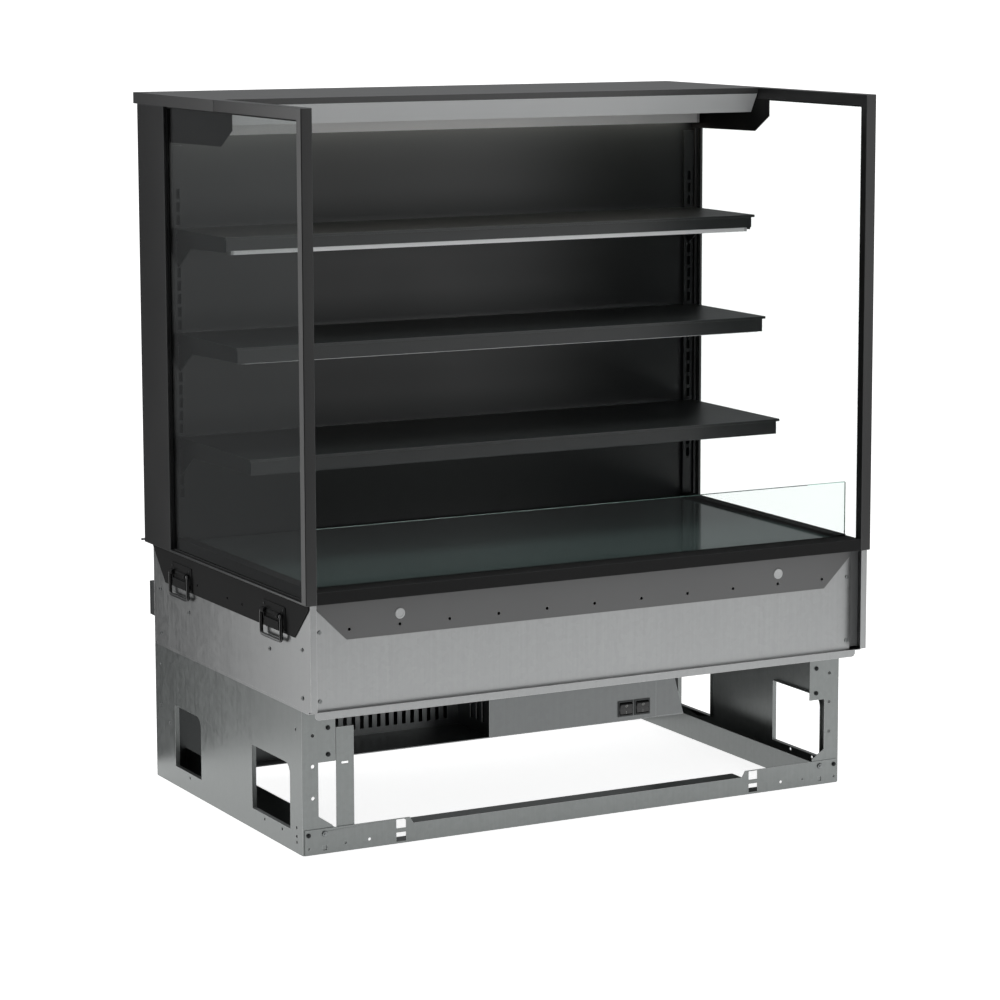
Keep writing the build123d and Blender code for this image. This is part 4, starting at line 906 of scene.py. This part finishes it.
def cross_screw(name, radius, height):
    """A pan-head screw standing on z = 0 with its head up."""
    head = new_disc(name, (0, 0, height / 2), "Z", radius, height, sides=24)
    pick_faces(head, lambda normal: normal.z > 0.9)
    bpy.ops.mesh.inset(thickness=radius * 0.25, depth=height * 0.25)
    leave_edit()
    soften(head, height * 0.2)
    long, short = radius * CROSS_LENGTH, radius * CROSS_WIDTH
    for x, y in ((long, short), (short, long)):
        cut_away(head, new_block("driver_bit", (-x / 2, -y / 2, height * CROSS_FLOOR),
                                 (x / 2, y / 2, height * 2)))
    return head


def placed(model, name, places, face):
    """Copies of a screw, bolt or rivet at some places, with their heads to one side."""
    return [copied(model, name, place, HEAD_TURN[face]) for place in places]


screw = cross_screw("screw_model", 4 * MM, 1.5 * MM)
print("screw faces:", len(screw.data.polygons))

# %% [markdown]
# Each side of the housing has six screws, in the two pairs and the row that the photo shows,
# and two more hold each end of the front panel.

# %% Housing screws
HOUSING_SIDE_X = 0.599
SIDE_SCREWS = ((-0.360, 0.3055), (-0.360, 0.3945), (-0.216, 0.3707),
               (0.170, 0.3707), (0.314, 0.3055), (0.314, 0.3945))
HOUSING_FRONT_Y = -0.3695
FRONT_SCREW_X = 0.569
FRONT_SCREW_Z = (0.298, 0.425)

heads = []
for sign, face in ((-1, "-X"), (1, "+X")):
    heads += placed(screw, "housing_screw",
                    [(sign * HOUSING_SIDE_X, y, z) for y, z in SIDE_SCREWS], face)
heads += placed(screw, "housing_screw",
                [(sign * FRONT_SCREW_X, HOUSING_FRONT_Y, z)
                 for sign in (-1, 1) for z in FRONT_SCREW_Z], "-Y")
print("housing screws:", len(heads))
settle(joined(heads, "housing_screw_set"), screw_steel, "case",
       ["panel_screws"])

# %% [markdown]
# The rear cover is screwed down along its four edges, every 200 mm or so, because a fitter has
# to reach the wiring behind it. The photo doesn't show the back, so the spacing is a common
# one.

# %% Cover screws
COVER_FACE_Y = 0.376
POST_SCREW_X = 0.570
POST_SCREW_Z = (0.54, 0.74, 0.94, 1.14, 1.31)
EDGE_SCREW_X = (-0.34, -0.11, 0.11, 0.34)
EDGE_SCREW_Z = (0.497, 1.335)

places = [(sign * POST_SCREW_X, COVER_FACE_Y, z) for sign in (-1, 1) for z in POST_SCREW_Z]
places += [(x, COVER_FACE_Y, z) for x in EDGE_SCREW_X for z in EDGE_SCREW_Z]
settle(joined(placed(screw, "cover_screw", places, "+Y"), "cover_screw_set"), dark_screw)
print("cover screws:", len(places))

# %% [markdown]
# ## Fold-down handles
#
# Two handles on each side let the fitters lift the case into the counter. A plate holds two
# knuckles, in which a bail turns. The plates keep their CAD shape and are held by four rivets
# each, which are small domes: short discs with a wide rounding.

# %% Handle plates
PLATE_FACE_X = 0.603
PLATE_MIDDLES = (-0.243, 0.197)
RIVET_OFFSET = 0.043
RIVET_Z = (0.4235, 0.4545)

dress("handle_plates", matt_powder, 0.5 * MM)
rivet = new_disc("rivet_model", (0, 0, 0.5 * MM), "Z", 2.6 * MM, 1.0 * MM, sides=20)
soften(rivet, 0.6 * MM, 3)
rivets = []
for sign, face in ((-1, "-X"), (1, "+X")):
    rivets += placed(rivet, "plate_rivet",
                     [(sign * PLATE_FACE_X, middle + offset, z) for middle in PLATE_MIDDLES
                      for offset in (-RIVET_OFFSET, RIVET_OFFSET) for z in RIVET_Z], face)
print("rivets:", len(rivets))
settle(joined(rivets, "plate_rivet_set"), dark_screw)

# %% [markdown]
# A bail is bent from 7 mm round bar, and is made here as a smith makes it. A disc is drawn out
# into a bar, and at each corner its end is spun a quarter turn, which bends the bar's middle
# line to a radius of 6 mm.

# %% Bails
BAR_RADIUS = 3.5 * MM
BEND_RADIUS = 6 * MM
BEND_STEPS = 6
BAR_START = 28 * MM


def handle_bail(node):
    """A round-bar bail, bent four times, in place of its CAD node."""
    low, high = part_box(node)
    x = (low.x + high.x) / 2
    y = (low.y + high.y) / 2
    z = high.z - BAR_RADIUS
    half = (high.y - low.y) / 2 - BAR_RADIUS
    drop = z - (low.z + BAR_RADIUS)
    reach = half - BAR_START - BEND_RADIUS
    bpy.ops.mesh.primitive_circle_add(vertices=20, radius=BAR_RADIUS, fill_type="NGON",
                                      location=(x, y - BAR_START, z),
                                      rotation=(QUARTER_TURN, 0, 0))
    bail = bpy.context.object
    bail.name = node + "_bail"
    bpy.ops.object.mode_set(mode="EDIT")
    bpy.ops.mesh.select_all(action="SELECT")
    y_near, y_far = y - half + BEND_RADIUS, y + half - BEND_RADIUS
    z_top, z_foot = z - BEND_RADIUS, z - drop + BEND_RADIUS
    for shift, corner in (((0, -reach, 0), (x, y_near, z_top)),
                          ((0, 0, 2 * BEND_RADIUS - drop), (x, y_near, z_foot)),
                          ((0, 2 * (half - BEND_RADIUS), 0), (x, y_far, z_foot)),
                          ((0, 0, drop - 2 * BEND_RADIUS), (x, y_far, z_top))):
        draw_out(shift)
        bpy.ops.mesh.spin(steps=BEND_STEPS, angle=-QUARTER_TURN, center=corner,
                          axis=(1, 0, 0))
    draw_out((0, -reach, 0))
    bpy.ops.mesh.select_all(action="SELECT")
    bpy.ops.mesh.remove_doubles(threshold=MERGE_REACH)
    bpy.ops.mesh.normals_make_consistent(inside=False)
    leave_edit()
    work_on(bail)
    freeze_place()
    soften(bail, 0.5 * MM, sharper_than=60)
    settle(bail, black_steel, nodes[node]["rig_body"], [node])
    print(bail.name, "faces:", len(bail.data.polygons))


for end in ("front", "rear"):
    for side in ("left", "right"):
        handle_bail(end + "_handle_" + side)

# %% [markdown]
# ## Supply box and cable gland
#
# The dark box on the back joins the supply cable. Its lid is a second shallow box with a
# groove between the two, and four screws.

# %% Supply box
LID_DEPTH = 7 * MM
GROOVE_DEPTH = 1.2 * MM
GROOVE_WIDTH = 0.8 * MM
LID_RIM = 6 * MM
LID_STEP = 0.8 * MM
LID_SCREW_INSET = 5.5 * MM
LID_SCREW_SUNK = 1.0 * MM

low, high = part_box("power_inlet_box")
shell = new_block("supply_box_shell", low, (high.x, high.y - LID_DEPTH, high.z))
pick_faces(shell, lambda normal: normal.y > 0.9)
bpy.ops.mesh.inset(thickness=GROOVE_DEPTH, depth=0)
draw_out((0, GROOVE_WIDTH, 0))
leave_edit()
soften(shell, 1.0 * MM, 3)
settle(shell, dark_plastic, "case", ["power_inlet_box"])
lid = new_block("supply_box_lid", (low.x, high.y - LID_DEPTH + GROOVE_WIDTH, low.z), high)
pick_faces(lid, lambda normal: normal.y > 0.9)
bpy.ops.mesh.inset(thickness=LID_RIM, depth=0)
bpy.ops.mesh.inset(thickness=LID_STEP, depth=-LID_STEP)
leave_edit()
soften(lid, 1.0 * MM, 3)
settle(lid, dark_plastic)
places = [(x, high.y - LID_SCREW_SUNK, z)
          for x in (low.x + LID_SCREW_INSET, high.x - LID_SCREW_INSET)
          for z in (low.z + LID_SCREW_INSET, high.z - LID_SCREW_INSET)]
settle(joined(placed(screw, "lid_screw", places, "+Y"), "lid_screw_set"), screw_steel)
print("box size in mm:", [round(v / MM) for v in (high - low)])

# %% [markdown]
# The gland beside the box has a hexagon to hold with a spanner, a ribbed cap nut to tighten by
# hand, and a rubber ring that grips the cable. The ribs are what is left where every other
# side of the cap is inset inwards.

# %% Cable gland
HEXAGON_RADIUS = 12 * MM
HEXAGON_LENGTH = 8 * MM
CAP_RADIUS = 9 * MM
RIB_EDGE = 0.3 * MM
RIB_HEIGHT = 0.4 * MM
BORE_RADIUS = 5 * MM
BORE_PLAY = 1.5 * MM
BORE_DEPTH = 12 * MM
RING_RADIUS = 7.2 * MM
RING_WALL = 2.2 * MM
RING_LENGTH = 3 * MM

low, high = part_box("cord_gland")
gland_y, gland_z = (low.y + high.y) / 2, (low.z + high.z) / 2
box_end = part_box("power_inlet_box")[1].x
hexagon_end = box_end + HEXAGON_LENGTH
hexagon = new_disc("gland_hexagon", ((box_end + hexagon_end) / 2, gland_y, gland_z), "X",
                   HEXAGON_RADIUS, hexagon_end - box_end, sides=6)
soften(hexagon, 0.8 * MM)
cap = new_disc("gland_cap", ((hexagon_end + high.x) / 2, gland_y, gland_z), "X", CAP_RADIUS,
               high.x - hexagon_end, sides=36)
every_other = itertools.cycle((True, False))
pick_faces(cap, lambda normal: abs(normal.x) < 0.1 and next(every_other))
bpy.ops.mesh.inset(thickness=RIB_EDGE, depth=-RIB_HEIGHT, use_individual=True)
leave_edit()
pick_faces(cap, lambda normal: normal.x > 0.99)
bpy.ops.mesh.inset(thickness=CAP_RADIUS - BORE_RADIUS - BORE_PLAY, depth=0)
draw_out((-BORE_DEPTH, 0, 0))
leave_edit()
settle(joined([hexagon, cap], "cable_gland"), dark_plastic, "case",
       ["cord_gland"])
ring = new_disc("gland_ring", (high.x - RING_LENGTH, gland_y, gland_z), "X", RING_RADIUS,
                RING_LENGTH, sides=36)
pick_faces(ring, lambda normal: abs(normal.x) > 0.99)
bpy.ops.mesh.inset(thickness=RING_WALL, depth=0)
bpy.ops.mesh.bridge_edge_loops()
leave_edit()
settle(ring, seal_rubber)
print("gland length in mm:", round((high.x - low.x) / MM, 1))

# %% [markdown]
# ## Bolts of the base frame
#
# Where the gussets lap the frame and where the front rail meets the sides, the photo shows
# round heads instead of open holes, three dark ones and a larger zinc one on each side. They
# are button-head bolts: a disc is rounded to a dome, and a boolean modifier takes a hexagon
# socket out of it.

# %% Button-head bolts
BASE_FACE_Y = -0.3214
RAIL_FACE_Y = -0.3234
GUSSET_BOLT_X = 0.532
GUSSET_BOLT_Z = (0.186, 0.236)
RAIL_BOLT_X = 0.574
ZINC_BOLT_X = 0.541
RAIL_BOLT_Z = 0.038
# The socket's size, as shares of the head's radius and height.
SOCKET_RADIUS, SOCKET_DEPTH = 0.42, 0.6


def button_bolt(name, radius, height):
    """A domed bolt head standing on z = 0, with a hexagon socket."""
    head = new_disc(name, (0, 0, height / 2), "Z", radius, height, sides=24)
    soften(head, height * 0.55, 4)
    cut_away(head, new_disc("socket_key", (0, 0, height), "Z", radius * SOCKET_RADIUS,
                            height * SOCKET_DEPTH * 2, sides=6))
    return head


small_bolt = button_bolt("small_bolt_model", 4.4 * MM, 2.4 * MM)
large_bolt = button_bolt("large_bolt_model", 5.6 * MM, 3.0 * MM)
dark_heads = []
zinc_heads = []
for sign in (-1, 1):
    places = [(sign * GUSSET_BOLT_X, BASE_FACE_Y, z) for z in GUSSET_BOLT_Z]
    places.append((sign * RAIL_BOLT_X, RAIL_FACE_Y, RAIL_BOLT_Z))
    dark_heads += placed(small_bolt, "dark_bolt", places, "-Y")
    zinc_heads += placed(large_bolt, "zinc_bolt",
                         [(sign * ZINC_BOLT_X, RAIL_FACE_Y, RAIL_BOLT_Z)], "-Y")
print("base bolts:", len(dark_heads), "dark and", len(zinc_heads), "of zinc")
settle(joined(dark_heads, "base_bolt_set"), dark_screw)
settle(joined(zinc_heads, "base_zinc_bolt_pair"), screw_steel)
for model in (screw, rivet, small_bolt, large_bolt):
    bpy.data.objects.remove(model)

# %% [markdown]
# ## Rocker switches
#
# Two rockers sit side by side in the front of the electrical box. The bezels and the rockers
# keep their CAD shapes, with rounder edges. The marks are the plain line and ring that any
# switch has for on and off, printed on the two halves of the rocker, so they ride on it.

# %% Switches
ROCKER_TILT = 6.0
ROCKER_PIVOT = (-0.282, 0.1935)
ROCKER_X = {"power_rocker": 0.117, "light_rocker": 0.154}
# A rocker's face is a shallow V. This is a half's middle, in Y and Z from the pivot.
FACE_MIDDLE = (-7.25 * MM, 6.25 * MM)
FACE_SLOPE = math.degrees(math.atan2(3.5, 12.5))
MARK_PROUD = 0.15 * MM
MARK_HALF_WIDTH = 0.4 * MM
LINE_HALF_LENGTH = 2.6 * MM
MARK_RING_RADIUS = 2.3 * MM
MARK_RING_FLATNESS = 0.4


def rocker_mark(piece, x, half):
    """Lay a mark made flat at the origin on the upper (+1) or lower (-1) rocker face."""
    tilt = math.radians(ROCKER_TILT)
    y, z = FACE_MIDDLE[0], half * FACE_MIDDLE[1]
    place_y = ROCKER_PIVOT[0] + y * math.cos(tilt) - z * math.sin(tilt)
    place_z = ROCKER_PIVOT[1] + y * math.sin(tilt) + z * math.cos(tilt)
    work_on(piece)
    piece.rotation_euler = (math.radians(90 + half * FACE_SLOPE + ROCKER_TILT), 0, 0)
    piece.location = (x, place_y, place_z)
    freeze_place()


dress("switch_frames", dark_plastic, 0.5 * MM)
for node, x in ROCKER_X.items():
    dress(node, rocker_plastic, 0.5 * MM, 3)
    line = new_block(node + "_line", (-MARK_HALF_WIDTH, -LINE_HALF_LENGTH, -MARK_PROUD),
                     (MARK_HALF_WIDTH, LINE_HALF_LENGTH, MARK_PROUD))
    soften(line, 0.1 * MM, 1)
    rocker_mark(line, x, -1)
    bpy.ops.mesh.primitive_torus_add(major_radius=MARK_RING_RADIUS, major_segments=24,
                                     minor_radius=MARK_HALF_WIDTH, minor_segments=6)
    ring = bpy.context.object
    ring.scale = (1, 1, MARK_RING_FLATNESS)
    rocker_mark(ring, x, 1)
    marks = joined([line, ring], node + "_marks")
    settle(marks, mark_paint, nodes[node]["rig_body"])
print("switches:", list(ROCKER_X))

# %% [markdown]
# ## What stays as it is
#
# The tubes inside the back and under the deck, the supply unit and the terminal block can't
# be seen from outside. Their CAD shapes are right, so they stay, and only get their finish.

# %% Hidden parts
for node, finish in (("rear_beams", black_powder), ("deck_bearers", base_zinc),
                     ("led_driver", driver_metal), ("terminal_block", dark_plastic)):
    nodes[node].data.materials.clear()
    nodes[node].data.materials.append(finish)
